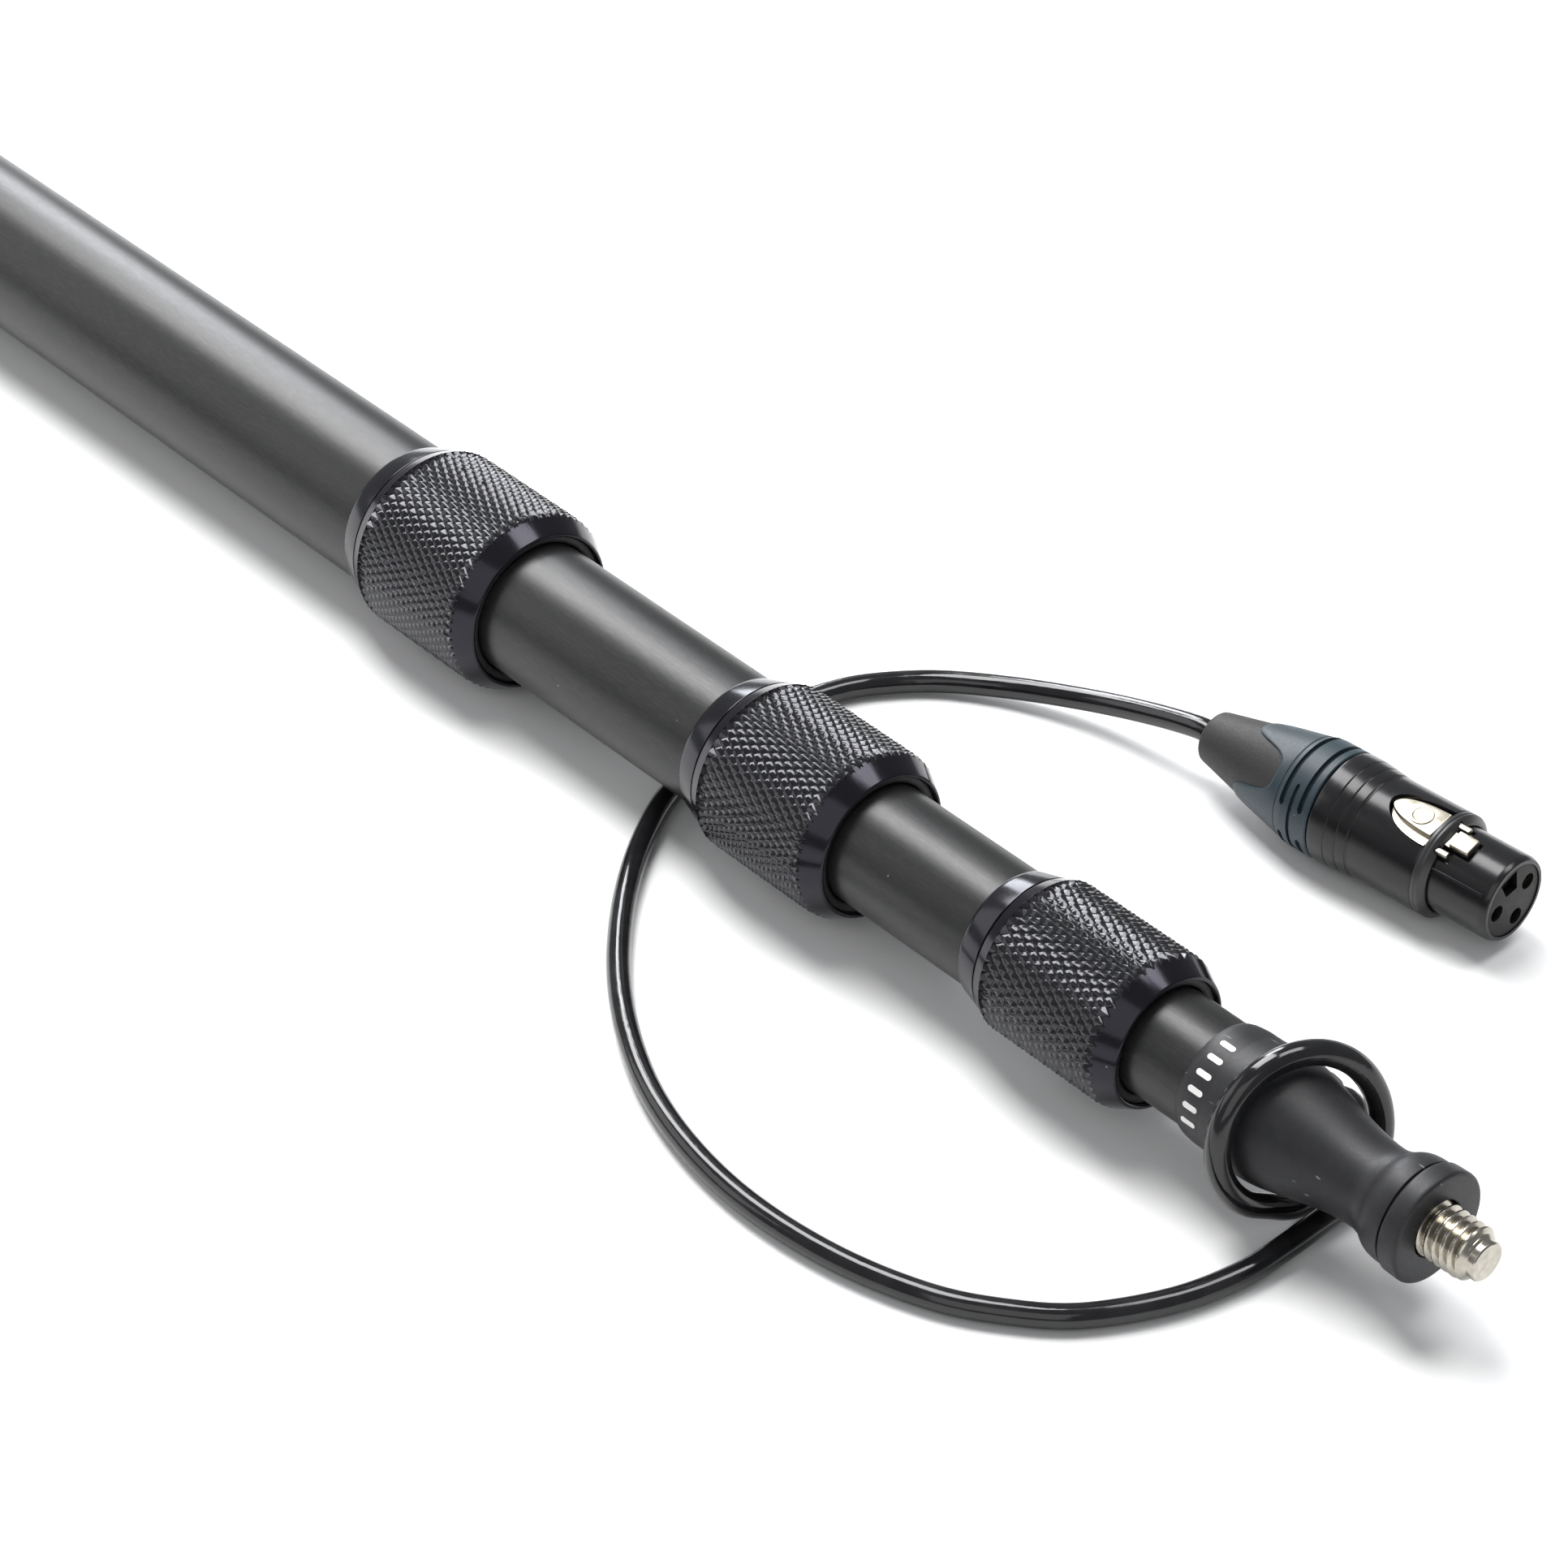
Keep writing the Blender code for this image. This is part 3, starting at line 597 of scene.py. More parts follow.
def camera():
    data = bpy.data.cameras.new("camera")
    data.lens = CAMERA_LENS
    data.sensor_width = 36.0
    data.clip_end = 10.0
    thing = bpy.data.objects.new("camera", data)
    thing.location = CAMERA_AT
    thing.rotation_euler = (math.radians(90.0 - CAMERA_DOWN), 0.0, math.radians(CAMERA_TURN))
    bpy.context.scene.collection.objects.link(thing)
    bpy.context.scene.camera = thing


def round_pole(x, radius, degrees):
    """A point beside the pole's axis, at an angle from +Y towards -Z."""
    angle = math.radians(degrees)
    return Vector((x, radius * math.cos(angle), AXIS_Z - radius * math.sin(angle)))


def wrap_x(degrees):
    """Where along the pole the lead's turn is at an angle."""
    lean = math.cos(math.radians(degrees - WRAP_FAR_ANGLE))
    return WRAP_X + WRAP_PITCH * degrees / 360 + WRAP_TILT * lean


def lead_points():
    start = [round_pole(*place) for place in EXIT_ROUTE]
    wrap = [round_pole(wrap_x(a), WRAP_R, a) for a in range(110, 451, 20)]
    floor = [Vector(place) for place in FLOOR_ROUTE]
    end = [PLUG @ Vector((-0.0035, 0.0, 0.0)), PLUG @ Vector((0.0004, 0.0, 0.0))]
    return spaced(catmull_rom(start + wrap + floor + end), CORD_SPACING)


def lead(plug_pieces):
    """The free lead, a round curve along the lead's points that rides on the tip section."""
    points = lead_points()
    curve = bpy.data.curves.new("lead", "CURVE")
    curve.dimensions = "3D"
    curve.bevel_depth = CORD_R
    curve.bevel_resolution = 7
    curve.use_fill_caps = True
    spline = curve.splines.new("POLY")
    spline.points.add(len(points) - 1)
    for target, point in zip(spline.points, points):
        target.co = (*point, 1.0)
    curve.materials.append(CORD_BLACK)
    thing = bpy.data.objects.new("lead", curve)
    bpy.context.scene.collection.objects.link(thing)
    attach(thing, "tip_section")
    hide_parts("mic_lead")


# ---------------------------------------------------------------- pole


def tubes():
    for name, (body, radius) in TUBES.items():
        low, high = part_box(name)
        profile = (
            (high[0], radius, 0.0004),
            (low[0], radius, 0.0004),
            (low[0], radius - WALL, 0.0003),
            (high[0], radius - WALL, 0.0003),
        )
        mesh = turned(name, profile)
        publish(f"{name}_body", mesh, TUBE_BLACK, body, [name], AXIS)


def knurl_body(start, end, crest, count):
    """A solid that is knurled between start and end and wide everywhere else."""
    wide = crest * 1.6
    half = DIAMOND_LENGTH / 2
    rows = math.ceil((end - start) / half)
    around = 2 * count
    step = 2 * math.pi / around
    vertices, faces, rings = [], [], []

    def ring(x, radii):
        rings.append(len(vertices))
        for j, radius in enumerate(radii):
            vertices.append((x, radius * math.cos(step * j), radius * math.sin(step * j)))

    ring(start - 0.02, [wide] * around)
    ring(start, [wide] * around)
    for row in range(rows + 1):
        high = crest + TIP_FLAT
        ring(start + row * half, [high - KNURL_DEPTH * (1 - (row + j) % 2) for j in range(around)])
    ring(start + rows * half, [wide] * around)
    ring(end + 0.03, [wide] * around)
    for index, (a, b) in enumerate(zip(rings, rings[1:])):
        row = index - 2
        for j in range(around):
            k = (j + 1) % around
            if 0 <= row < rows and (row + j) % 2 == 0:
                faces += [(a + j, a + k, b + k), (a + j, b + k, b + j)]
            elif 0 <= row < rows:
                faces += [(a + j, a + k, b + j), (a + k, b + k, b + j)]
            else:
                faces.append((a + j, a + k, b + k, b + j))
    faces.append(tuple(rings[0] + j for j in reversed(range(around))))
    faces.append(tuple(rings[-1] + j for j in range(around)))
    return solid("knurl", vertices, faces)


def soften_crests(mesh, rear, front, level):
    """Shade each pyramid of a knurl smoothly, with sharp valleys between them."""
    sharp = mesh.attributes["sharp_edge"].data
    for edge in mesh.edges:
        ends = [mesh.vertices[i].co for i in edge.vertices]
        if all(rear < end.x < front for end in ends):
            low = [math.hypot(end.y, end.z - AXIS_Z) < level for end in ends]
            sharp[edge.index].value = all(low)


def twist_lock(number):
    """A ferrule, its knurled collar and the wiper in the collar's mouth."""
    back, outer_r, inner_r, crest, knurl, count = LOCKS[number]
    start = back + FERRULE_RING + GROOVE
    front = start + PLAIN_BAND + knurl + LIP
    section = LOCK_SECTIONS[number]
    sleeve = crest - 0.0021
    ring = (
        (back + FERRULE_RING + 0.008, sleeve),
        (back + FERRULE_RING, sleeve, 0.0),
        (back + FERRULE_RING, crest - 0.0011, 0.00018),
        (back + 0.0006, outer_r + 0.0007, 0.0004),
        (back, outer_r + 0.0004, 0.00015),
        (back, outer_r + 0.0001, 0.0),
        (back + 0.0104, outer_r + 0.0001),
        (back + 0.0104, inner_r + 0.00015),
        (back + 0.0124, inner_r + 0.00015),
        (back + 0.0124, outer_r + 0.0001),
        (back + FERRULE_RING + 0.008, outer_r + 0.0001),
    )
    mesh = turned("ferrule", ring, 0.0001)
    node = f"ferrule_{number}"
    publish(f"ferrule_ring_{number}", mesh, RING_BLACK, section, [node], AXIS)

    bore = crest - 0.0018
    envelope = (
        (front - 0.0003, inner_r + 0.0017, 0.00015),
        (front, inner_r + 0.0020, 0.0002),
        (front - 0.0002, inner_r + 0.0024, 0.0004),
        (front - LIP - 0.0001, crest, 0.0008),
        (start + PLAIN_BAND + 0.0001, crest, 0.0),
        (start + PLAIN_BAND, crest - 0.0002, 0.0001),
        (start, crest - 0.0010, 0.00015),
        (start, bore, 0.0),
        (front - 0.0116, bore, 0.0),
        (front - 0.0078, inner_r + 0.0013, 0.0),
        (front - 0.0078, inner_r + 0.0006, 0.0),
        (front - 0.0040, inner_r + 0.0006, 0.0),
        (front - 0.0040, inner_r + 0.0017, 0.0),
    )
    outer = turned("envelope", envelope, 0.0002, 2 * ROUND)
    field = knurl_body(start + PLAIN_BAND, front - LIP + 0.0016, crest, count)
    mesh = combined("lock_collar", outer, field, "INTERSECT")
    node = f"lock_collar_{number}"
    lock = f"lock_{number}"
    collar = publish(f"{node}_body", mesh, KNURL_BLACK, lock, [node], AXIS, 22.0)
    collar.data.materials.append(LIP_BLACK)
    for face in collar.data.polygons:
        if not start + PLAIN_BAND < face.center.x < front - LIP + 0.0002:
            face.material_index = 1
    valleys = crest - KNURL_DEPTH / 2
    soften_crests(collar.data, start + PLAIN_BAND + 0.0002, front - LIP, valleys)

    wiper = (
        (front - 0.0012, inner_r + 0.0003, 0.0001),
        (front - 0.0009, inner_r + 0.0008, 0.0003),
        (front - 0.0010, inner_r + 0.0016, 0.0),
        (front - 0.0037, inner_r + 0.0016, 0.0),
        (front - 0.0037, inner_r + 0.0002, 0.0),
    )
    mesh = turned("wiper", wiper, 0.0002)
    node = f"wiper_ring_{number}"
    publish(f"{node}_body", mesh, RUBBER, lock, [node], AXIS)


# ---------------------------------------------------------------- tip


NOSE_PROFILE = (  # x and radius, from the flange back to the ring
    (0.3106, 0.00775),
    (0.3086, 0.00722),
    (0.3060, 0.00726),
    (0.3030, 0.00760),
    (0.3000, 0.00815),
    (0.2970, 0.00885),
    (0.2937, 0.00965),
    (0.2900, 0.01050),
    (0.2868, 0.01085),
    (0.2840, 0.01080),
    (0.2815, 0.01062),
    (NOSE_REAR, 0.01050),
)


def printed_bar(degrees):
    """A plain rounded bar of print on the tip ring."""
    half = PRINT_WIDTH / 2
    outline = []
    for centre, turn in ((PRINT_FRONT - half, -math.pi / 2), (PRINT_REAR + half, math.pi / 2)):
        for i in range(25):
            angle = math.pi * i / 24 + turn
            outline.append((centre + half * math.cos(angle), half * math.sin(angle)))
    bar = prism("bar", outline, PRINT_LOW, PRINT_HIGH)
    bar.transform(Matrix.Rotation(math.radians(90.0 - degrees), 4, "X"))
    return bar


def tip():
    body = "tip_section"
    ring = (
        (RING_FRONT, RING_R, 0.0),
        (0.2772, RING_R, 0.0020),
        (0.2752, 0.01025, 0.0012),
        (0.2742, 0.0099, 0.0003),
        (0.2741, 0.0096, 0.0),
        (RING_FRONT, 0.0096, 0.0),
    )
    mesh = turned("tip_ring", ring, 0.0002)
    publish("tip_ring_body", mesh, NOSE_BLACK, body, ["tip_ring"], AXIS)

    bars = printed_bar(PRINT_ANGLES[0])
    for angle in PRINT_ANGLES[1:]:
        bars = combined("print", bars, printed_bar(angle), "UNION")
    publish("print_body", bars, PRINT, body, (), AXIS)

    curve = smooth_profile(NOSE_PROFILE)
    nose = (
        (0.3160, 0.0, 0.0),
        (0.3160, 0.0090, 0.0),
        (0.3159, 0.00922, 0.0001),
        (0.3146, 0.00925, 0.0006),
        (0.3131, 0.00907, 0.0008),
        (0.3119, 0.00862, 0.0008),
        *((point[0], point[1], 0.0) for point in curve),
        (NOSE_REAR, 0.0080, 0.0),
        (0.2680, 0.0080, 0.0003),
        (0.2680, 0.0, 0.0),
    )
    mesh = turned("nose", nose, 0.0003)
    publish("nose_body", mesh, NOSE_BLACK, body, ["nose"], AXIS)

    disc = (
        (0.3201, 0.00495, 0.0003),
        (0.3201, 0.00975, 0.0008),
        (0.3167, 0.00962, 0.0006),
        (0.3163, 0.00925, 0.0002),
        (0.3163, 0.00495, 0.0),
    )
    mesh = turned("disc", disc, 0.0003)
    publish("mount_disc_body", mesh, NOSE_BLACK, body, ["mount_disc"], AXIS)
    publish("stud_body", stud_mesh(), STEEL, body, ["stud"], AXIS, 40.0)

    place = round_pole(*EXIT_ROUTE[0])
    direction = (round_pole(*EXIT_ROUTE[1]) - place).normalized()
    grommet = (
        (0.0004, 0.00215, 0.0002),
        (0.0002, 0.0029, 0.0004),
        (-0.0016, 0.0036, 0.0003),
        (-0.0040, 0.0036, 0.0),
        (-0.0040, 0.00215, 0.0),
    )
    turn = Matrix.Translation(place) @ direction.to_track_quat("X", "Z").to_matrix().to_4x4()
    mesh = turned("grommet", grommet, 0.0002, 64)
    publish("exit_grommet_body", mesh, RUBBER, body, ["exit_grommet"], turn)


def stud_mesh():
    """A 3/8-16 thread with a chamfer and a dog point, as rings whose radius follows the thread."""
    pitch, major, minor = 0.0015875, 0.00468, 0.00378
    low, chamfer, shoulder, end = 0.3033, 0.3277, 0.3287, 0.3300
    segments, step = 128, 0.00004

    def radius(x, turn):
        phase = (x / pitch + turn) % 1.0
        slope = abs(phase - 0.5) * 2  # 1 on the crest, 0 at the root
        thread = minor + (major - minor) * min(1.0, max(0.0, (slope - 0.10) / 0.74))
        if x > chamfer - 0.0004:
            thread = min(thread, major - 0.5 * max(0.0, x - chamfer + 0.0004))
        if x > shoulder - 0.0009:
            thread = min(thread, 0.0034 + 1.1 * max(0.0, shoulder - x))
        if x > end - 0.00025:
            thread = min(thread, 0.0034 - 0.9 * (x - end + 0.00025))
        return thread

    rings = [[(low, 0.0, 0.0)]]
    count = round((end - low) / step)
    for i in range(count + 1):
        x = low + (end - low) * i / count
        ring = []
        for j in range(segments):
            angle = 2 * math.pi * j / segments
            r = radius(x, -j / segments)
            ring.append((x, r * math.cos(angle), r * math.sin(angle)))
        rings.append(ring)
    rings.append([(end, 0.0, 0.0)])
    return skin("stud", rings)


# ---------------------------------------------------------------- butt end


def butt_end():
    body = "base_section"
    cap = (
        (-0.2850, 0.0146, 0.0),
        (-0.2850, 0.0150, 0.0002),
        (-0.2862, 0.0160, 0.0006),
        (-0.3283, 0.0160, 0.0002),
        (-0.3283, 0.0082, 0.0004),
        (-0.3047, 0.0082, 0.0),
        (-0.3047, 0.0146, 0.0),
    )
    publish("end_cap_body", turned("cap", cap), RING_BLACK, body, ["end_cap"], AXIS)

    bumper = [(-0.3163, 0.0168, 0.0004), (-0.3168, 0.0175, 0.0006)]
    for i in range(3):
        x = -0.3190 - 0.0028 * i
        bumper += [(x, 0.0175, 0.0003), (x - 0.0003, 0.0170, 0.0002), (x - 0.0009, 0.0170, 0.0002)]
        bumper += [(x - 0.0012, 0.0175, 0.0003)]
    bumper += [
        (-0.3290, 0.0175, 0.0012),
        (-0.3300, 0.0162, 0.0010),
        (-0.3300, 0.0098, 0.0006),
        (-0.3286, 0.0098, 0.0003),
        (-0.3286, 0.0162, 0.0),
        (-0.3163, 0.0162, 0.0),
    ]
    mesh = turned("bumper", bumper)
    publish("butt_bumper_body", mesh, RUBBER, body, ["butt_bumper"], AXIS)

    socket = (
        (-0.3060, 0.0, 0.0),
        (-0.3060, 0.0079, 0.0),
        (-0.3150, 0.0079, 0.0003),
        (-0.3150, 0.0066, 0.0),
        (-0.3146, 0.0064, 0.0002),
        (-0.3146, 0.0, 0.0),
    )
    mesh = turned("socket", socket, 0.0002, 96)
    publish("output_insert_body", mesh, INSERT_BLACK, body, ["output_insert"], AXIS)
    pin = (
        (-0.3149, 0.0, 0.0),
        (-0.3149, 0.0012, 0.0),
        (-0.3264, 0.0012, 0.0006),
        (-0.3276, 0.0006, 0.0005),
        (-0.3276, 0.0, 0.0),
    )
    for number, degrees in enumerate(PIN_ANGLES, start=1):
        angle = math.radians(degrees)
        y, z = PIN_CIRCLE * math.cos(angle), PIN_CIRCLE * math.sin(angle)
        place = AXIS @ Matrix.Translation((0.0, y, z))
        mesh = turned("pin", pin, 0.0002, 32)
        node = f"output_pin_{number}"
        publish(f"{node}_body", mesh, PIN_SILVER, body, [node], place)


# ---------------------------------------------------------------- plug


def finger_edge(angle):
    """How far back the bushing reaches at an angle from -Y towards +Z: three rounded fingers."""
    phase = math.cos(3 * (angle - math.radians(99.0)))
    shaped = math.tanh(1.8 * phase) / math.tanh(1.8)
    return 0.0150 - 0.0046 * shaped


def plug_radius(x):
    """Outside radius of the boot and bushing."""
    return 0.0047 + (0.0102 - 0.0047) * min(1.0, x / 0.0236)


def boot():
    profile = (
        (0.0220, 0.0091, 0.0),
        (0.0220, 0.0096, 0.0),
        (0.0030, 0.00535, 0.0),
        (0.0, 0.0047, 0.0014),
        (0.0, 0.0024, 0.0003),
        (0.0095, 0.0024, 0.0),
        (0.0095, 0.0050, 0.0),
        (0.0200, 0.0050, 0.0),
    )
    mesh = turned("boot", profile, 0.0003, PLUG_ROUND)
    nodes = ["plug_boot"]
    return publish("plug_boot_body", mesh, BOOT_RUBBER, "tip_section", nodes, PLUG)


def bushing():
    """A collar with rounded fingers that run back over the boot, and with slots round it."""
    segments, rows = 256, 10
    rings = []
    edge = [finger_edge(2 * math.pi * j / segments) for j in range(segments)]
    inner = 0.0006

    def at(x, radius, j):
        angle = 2 * math.pi * j / segments
        return (x, -radius * math.cos(angle), radius * math.sin(angle))

    rings.append([at(0.0290, 0.0080, j) for j in range(segments)])
    rings.append([at(e + 0.0002, plug_radius(e) - inner, j) for j, e in enumerate(edge)])
    rings.append([at(e, plug_radius(e) - 0.00005, j) for j, e in enumerate(edge)])
    rings.append([at(e + 0.0001, plug_radius(e) + 0.00014, j) for j, e in enumerate(edge)])
    rings.append([at(e + 0.0004, plug_radius(e + 0.0004) + 0.00020, j) for j, e in enumerate(edge)])
    for row in range(1, rows + 1):
        ring = []
        for j, e in enumerate(edge):
            x = e + 0.0004 + (0.0212 - e - 0.0004) * row / rows
            ring.append(at(x, plug_radius(x) + 0.00020 * (1 - row / rows) + 0.00005, j))
        rings.append(ring)
    line = (
        (0.0215, 0.00975),
        (0.0217, 0.00962),
        (0.0219, 0.00985),
        (0.0228, 0.0101),
        (0.0236, 0.0102),
        (0.0288, 0.0102),
        (0.0290, 0.0100),
    )
    for x, radius in line:
        rings.append([at(x, radius, j) for j in range(segments)])
    mesh = skin("bushing", rings, closed=True)
    for centre in (89.0, 269.0):
        for x in (0.0232, 0.0272):
            slot = arc_slot(x, centre, 74.5, 0.00050, 0.0093)
            mesh = combined("bushing", mesh, slot, "DIFFERENCE")
    slot = arc_slot(0.0252, -28.0, 70.0, 0.00036, 0.0096)
    mesh = combined("bushing", mesh, slot, "DIFFERENCE")
    nodes = ["plug_bushing"]
    return publish("plug_bushing_body", mesh, SLATE, "tip_section", nodes, PLUG)


def arc_slot(x, centre, half, width, floor):
    """A round-ended slot cutter along an arc about the plug's axis, from a floor radius out."""
    count = 48
    ends = width / 0.0102
    angles = []
    for i in range(count + 1):
        angle = math.radians(centre) - math.radians(half) + 2 * math.radians(half) * i / count
        angles.append(angle)
    rings = []
    for angle in angles:
        to_end = min(angle - angles[0], angles[-1] - angle)
        scale = math.sqrt(max(0.05, 1 - max(0.0, 1 - to_end / ends) ** 2))
        ring = []
        for dx, r in ((-1, floor), (1, floor), (1, 0.0115), (-1, 0.0115)):
            ring.append((x + dx * width * scale, -r * math.cos(angle), r * math.sin(angle)))
        rings.append(ring)
    vertices = [p for ring in rings for p in ring]
    faces = [(3, 2, 1, 0), tuple(4 * count + k for k in range(4))]
    for i in range(count):
        for k in range(4):
            n = (k + 1) % 4
            faces.append((4 * i + k, 4 * i + n, 4 * i + 4 + n, 4 * i + 4 + k))
    return solid("slot", vertices, faces)


def shell():
    """The plug's metal shell, with the latch's window and channels and a ridge on its nose."""
    profile = [
        (PLUG_LENGTH, 0.0070, 0.0001),
        (PLUG_LENGTH, 0.0075, 0.0002),
        (0.0648, 0.0079, 0.0004),
        (0.0520, 0.0079, 0.0),
        (0.0512, 0.0096, 0.0004),
        (0.0378, 0.0096, 0.0008),
    ]
    for x, radius in ((0.0373, 0.00963), (0.0352, 0.00985), (0.0329, 0.01010)):
        profile += [
            (x + 0.00014, radius + 0.00008, 0.00006),
            (x, radius - 0.00006, 0.00004),
            (x - 0.00014, radius + 0.00010, 0.00006),
        ]
    profile += [
        (0.0312, 0.01025, 0.0006),
        (0.0294, 0.01025, 0.0003),
        (0.0293, 0.0085, 0.0),
        (0.0460, 0.0085, 0.0),
        (0.0460, 0.0068, 0.0),
        (PLUG_LENGTH, 0.0068, 0.0),
    ]
    mesh = turned("shell", profile, 0.0002, PLUG_ROUND)
    outline = teardrop(0.0408, 0.0512, 0.0040, 0.0050)
    lean = Matrix.Rotation(math.radians(LATCH_LEAN), 4, "X")
    cutter = prism("window", outline, 0.0058, 0.0120)
    cutter.transform(lean)
    mesh = combined("shell", mesh, cutter, "DIFFERENCE")
    turn = Matrix.Rotation(math.radians(TAB_LEAN), 4, "X")
    for low, high in (
        ((0.0505, -0.0021, 0.0064), (0.0589, 0.0021, 0.0120)),
        ((0.0504, -0.0040, 0.0060), (0.0558, 0.0040, 0.0120)),
    ):
        cutter = block("channel", low, high, 0.0)
        cutter.transform(turn)
        mesh = combined("shell", mesh, cutter, "DIFFERENCE")
    ridge = block("ridge", (0.0530, -0.00024, 0.0076), (0.0642, 0.00024, 0.00828), 0.00008)
    ridge.transform(Matrix.Rotation(math.radians(RIDGE_LEAN), 4, "X"))
    mesh = combined("shell", mesh, ridge, "UNION")
    body, nodes = "tip_section", ["plug_shell"]
    return publish("plug_shell_body", mesh, SHELL_BLACK, body, nodes, PLUG, 28.0)


def plug_ring():
    """The ring round the shell, notched inside for the latch's tab and side pins."""
    profile = (
        (0.0536, 0.0081, 0.0),
        (0.0536, 0.0084, 0.0002),
        (0.0530, 0.0092, 0.0003),
        (0.0526, 0.0096, 0.0002),
        (0.0523, 0.0096, 0.0001),
        (0.0521, 0.0094, 0.0001),
        (0.0519, 0.0096, 0.0001),
        (0.0513, 0.0096, 0.0001),
        (0.0513, 0.0081, 0.0),
    )
    mesh = turned("ring", profile, 0.0002, PLUG_ROUND)
    turn = Matrix.Rotation(math.radians(TAB_LEAN), 4, "X")
    for low, high in (
        ((0.0505, -0.0018, 0.0066), (0.0545, 0.0018, 0.0083)),
        ((0.0505, -0.0038, 0.0066), (0.0545, -0.0023, 0.0085)),
        ((0.0505, 0.0023, 0.0066), (0.0545, 0.0038, 0.0085)),
    ):
        cutter = block("notch", low, high, 0.0)
        cutter.transform(turn)
        mesh = combined("ring", mesh, cutter, "DIFFERENCE")
    nodes = ["plug_ring"]
    return publish("plug_ring_body", mesh, TIP_RING_BLACK, "tip_section", nodes, PLUG)


def teardrop(back, front, upper, lower):
    """An outline that is round at the back and opens to its half widths at the front."""
    steps = [(i / 24) ** 2 for i in range(25)]
    one = [(back + (front - back) * t, upper * math.sqrt(1 - (1 - t) ** 2.2)) for t in steps]
    other = [(back + (front - back) * t, -lower * math.sqrt(1 - (1 - t) ** 2.2)) for t in steps]
    return one + other[:0:-1]


def latch():
    """The release latch: a stepped plate with a plain disc, a tab to press and two side pins."""
    plate = prism("plate", teardrop(0.0412, 0.0510, 0.0030, 0.0028), 0.0077, 0.0091, 0.0002)
    step = prism("step", teardrop(0.0411, 0.0510, 0.0036, 0.0047), 0.00765, 0.0081, 0.0002)
    plate = combined("latch", plate, step, "UNION")
    rim = (
        (0.0, 0.0, 0.0),
        (0.0, 0.0021, 0.0),
        (0.00035, 0.0021, 0.0001),
        (0.00035, 0.0016, 0.00005),
        (0.00022, 0.0015, 0.00005),
        (0.00022, 0.0, 0.0),
    )
    disc = turned("disc", rim, 0.0001, 48)
    upright = Matrix.Rotation(-math.pi / 2, 4, "Y")
    disc.transform(Matrix.Translation((0.0470, 0.0, 0.0090)) @ upright)
    mesh = combined("latch", plate, disc, "UNION")
    for low, high, radius in (
        ((0.0500, -0.00165, 0.0076), (0.0584, 0.00165, 0.0082), 0.0002),
        ((0.0545, -0.00170, 0.0078), (0.0585, 0.00170, 0.0092), 0.00030),
        ((0.0500, -0.0036, 0.0073), (0.0554, -0.0025, 0.0083), 0.00025),
        ((0.0500, 0.0025, 0.0073), (0.0554, 0.0036, 0.0083), 0.00025),
    ):
        piece = block("piece", low, high, radius)
        piece.transform(Matrix.Rotation(math.radians(TAB_LEAN - LATCH_LEAN), 4, "X"))
        mesh = combined("latch", mesh, piece, "UNION")
    return publish("plug_latch_body", mesh, NICKEL, "latch", ["plug_latch"], LATCH, 28.0)


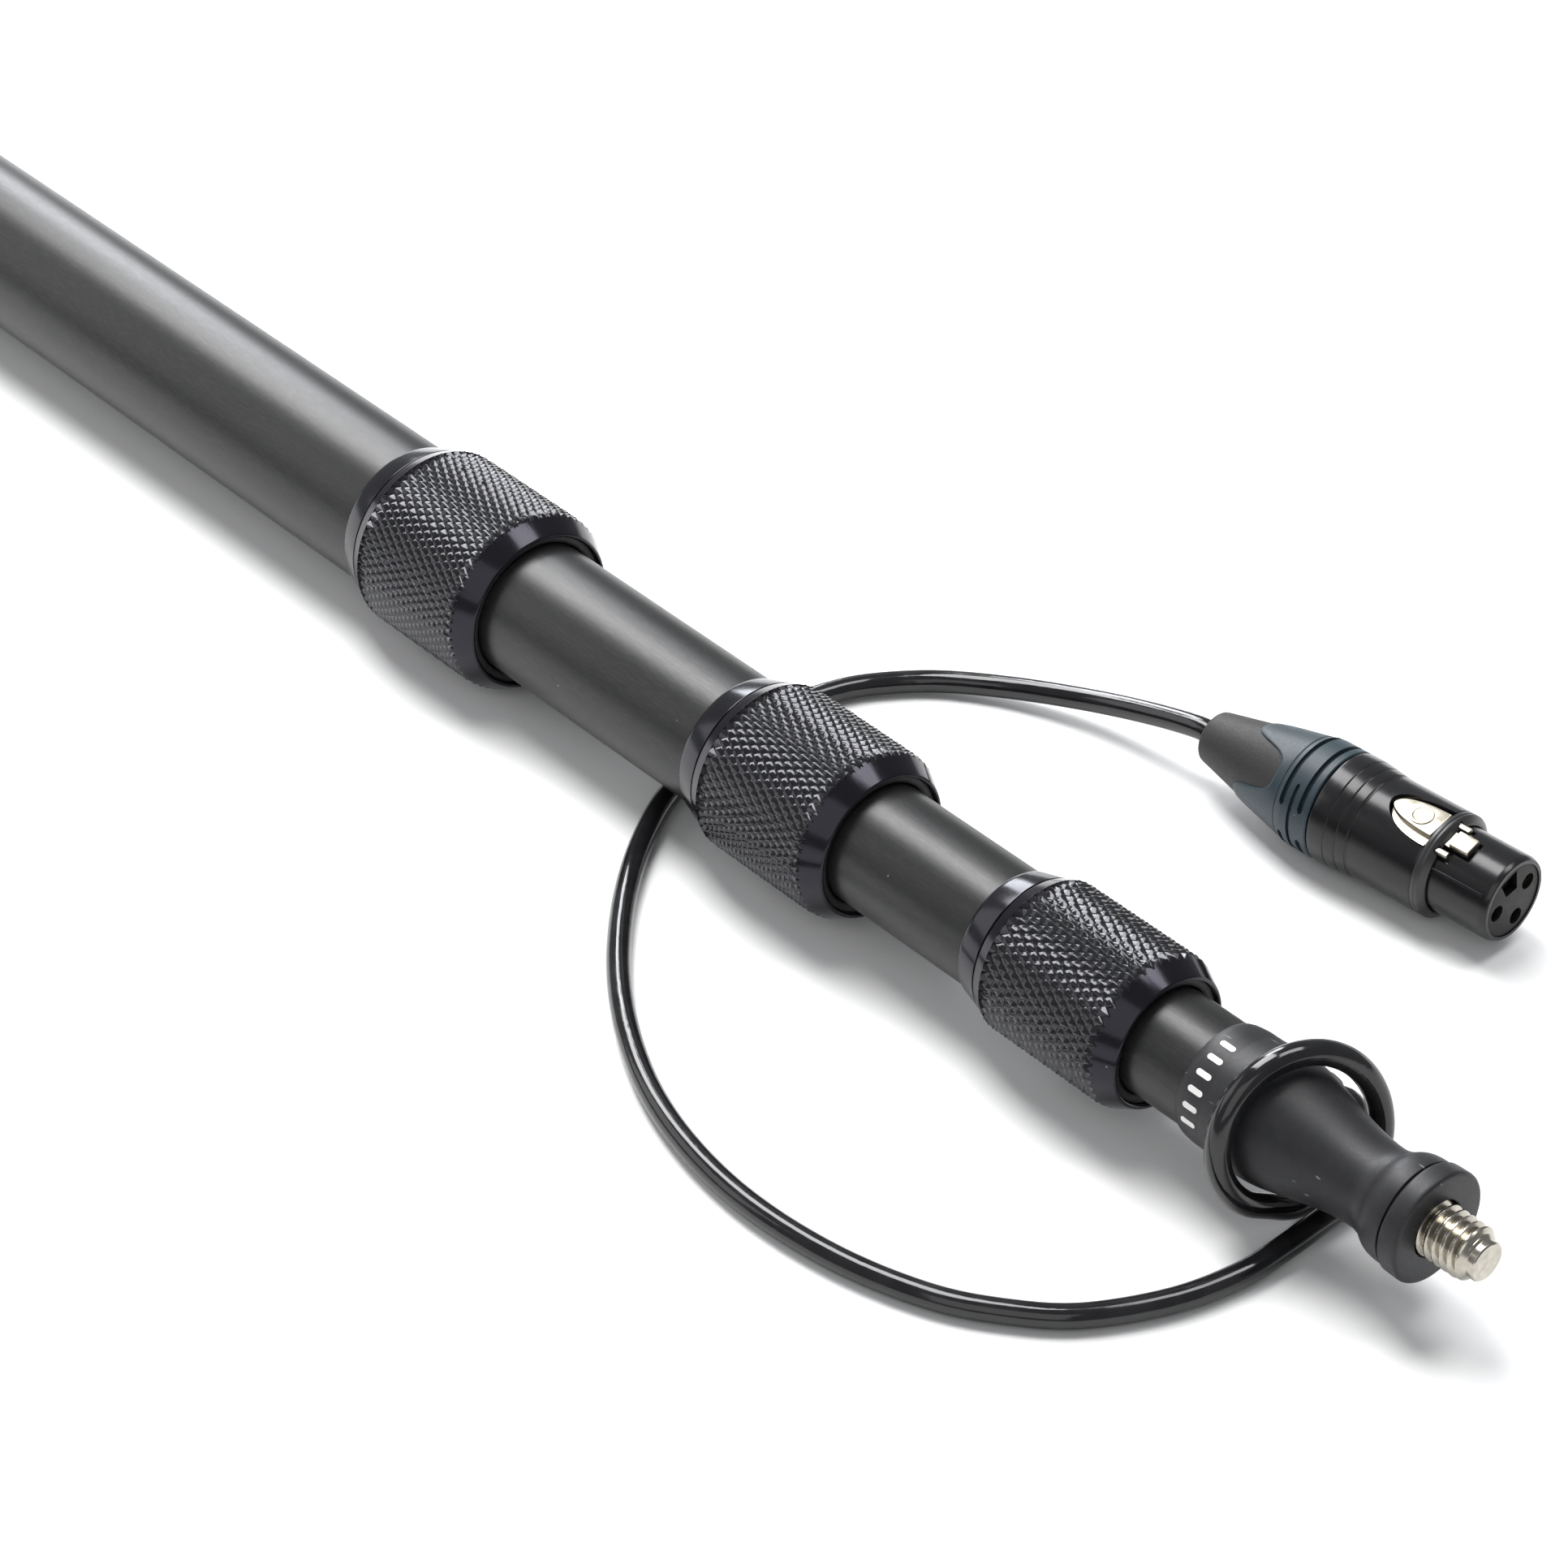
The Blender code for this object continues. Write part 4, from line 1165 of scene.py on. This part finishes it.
def insert():
    """The plug's face, with three holes for the contacts and a notch."""
    profile = (
        (0.0655, 0.0, 0.0),
        (0.0655, 0.00675, 0.0001),
        (0.0440, 0.00675, 0.0),
        (0.0440, 0.0, 0.0),
    )
    mesh = turned("insert", profile, 0.0002, 96)
    lean = Matrix.Rotation(math.radians(TAB_LEAN), 4, "X")
    for degrees in PIN_ANGLES:
        angle = math.radians(degrees)
        y, z = CONTACT_CIRCLE * math.cos(angle), CONTACT_CIRCLE * math.sin(angle)
        hole = rod("hole", (0.0557, y, z), (0.0670, y, z), 0.0015)
        hole.transform(lean)
        mesh = combined("insert", mesh, hole, "DIFFERENCE")
    corners = ((0.0014, 0.0018), (-0.0014, 0.0022), (-0.0021, 0.0058), (0.0021, 0.0058))
    notch = prism("notch", corners, 0.0, 0.0018)
    face = Matrix.Translation((0.0640, 0.0, 0.0))
    turn = Matrix.Rotation(math.pi / 2, 4, "Y") @ Matrix.Rotation(math.pi / 2, 4, "Z")
    notch.transform(lean @ face @ turn)
    mesh = combined("insert", mesh, notch, "DIFFERENCE")
    body, nodes = "tip_section", ["plug_insert"]
    return publish("plug_insert_body", mesh, INSERT_BLACK, body, nodes, PLUG, 30.0)


def plug():
    """All the pieces of the plug, which sit at the lead's end and ride on the tip section."""
    pieces = [boot(), bushing(), shell(), plug_ring(), latch(), insert()]
    for number in (1, 2, 3):
        pieces.append(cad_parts[f"plug_contact_{number}"])
    pieces.append(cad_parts["plug_chuck"])
    return pieces


# ---------------------------------------------------------------- CAD nodes that stay


def repaint():
    """New finishes on the CAD solids that the visible pieces don't replace."""
    finishes = {
        "collet": ACETAL,
        "guide_bush": ACETAL,
        "plug_chuck": ACETAL,
        "coiled_cable": CORD_BLACK,
        "plug_contact": GOLD,
    }
    for name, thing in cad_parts.items():
        for start, material in finishes.items():
            if name.startswith(start):
                for slot in thing.material_slots:
                    slot.material = material


# ---------------------------------------------------------------- stage


def area_light(name, place, target, size, power, colour):
    data = bpy.data.lights.new(name, "AREA")
    data.shape = "RECTANGLE"
    data.size, data.size_y = size
    data.energy = power
    data.color = colour
    thing = bpy.data.objects.new(name, data)
    thing.location = place
    aim = Vector(target) - Vector(place)
    thing.rotation_euler = aim.to_track_quat("-Z", "Y").to_euler()
    bpy.context.scene.collection.objects.link(thing)


def stage():
    world = bpy.data.worlds.new("studio")
    world.use_nodes = True
    background = world.node_tree.nodes["Background"]
    background.inputs["Color"].default_value = WORLD_COLOUR
    background.inputs["Strength"].default_value = WORLD_STRENGTH
    bpy.context.scene.world = world
    mesh = bpy.data.meshes.new("floor")
    half = FLOOR_HALF
    corners = [(-half, -half, 0), (half, -half, 0), (half, half, 0), (-half, half, 0)]
    mesh.from_pydata(corners, [], [(0, 1, 2, 3)])
    mesh.materials.append(Nodes("floor", (0.84, 0.84, 0.84), 0.7).material)
    floor = bpy.data.objects.new("floor", mesh)
    floor.location = (0.0, 0.0, -FLOOR_DROP)
    bpy.context.scene.collection.objects.link(floor)
    for name, light in LIGHTS.items():
        area_light(name, *light)
    bpy.context.scene.view_settings.view_transform = "Standard"


camera()
lead(plug())
tubes()
for lock in LOCKS:
    twist_lock(lock)
tip()
butt_end()
repaint()
stage()
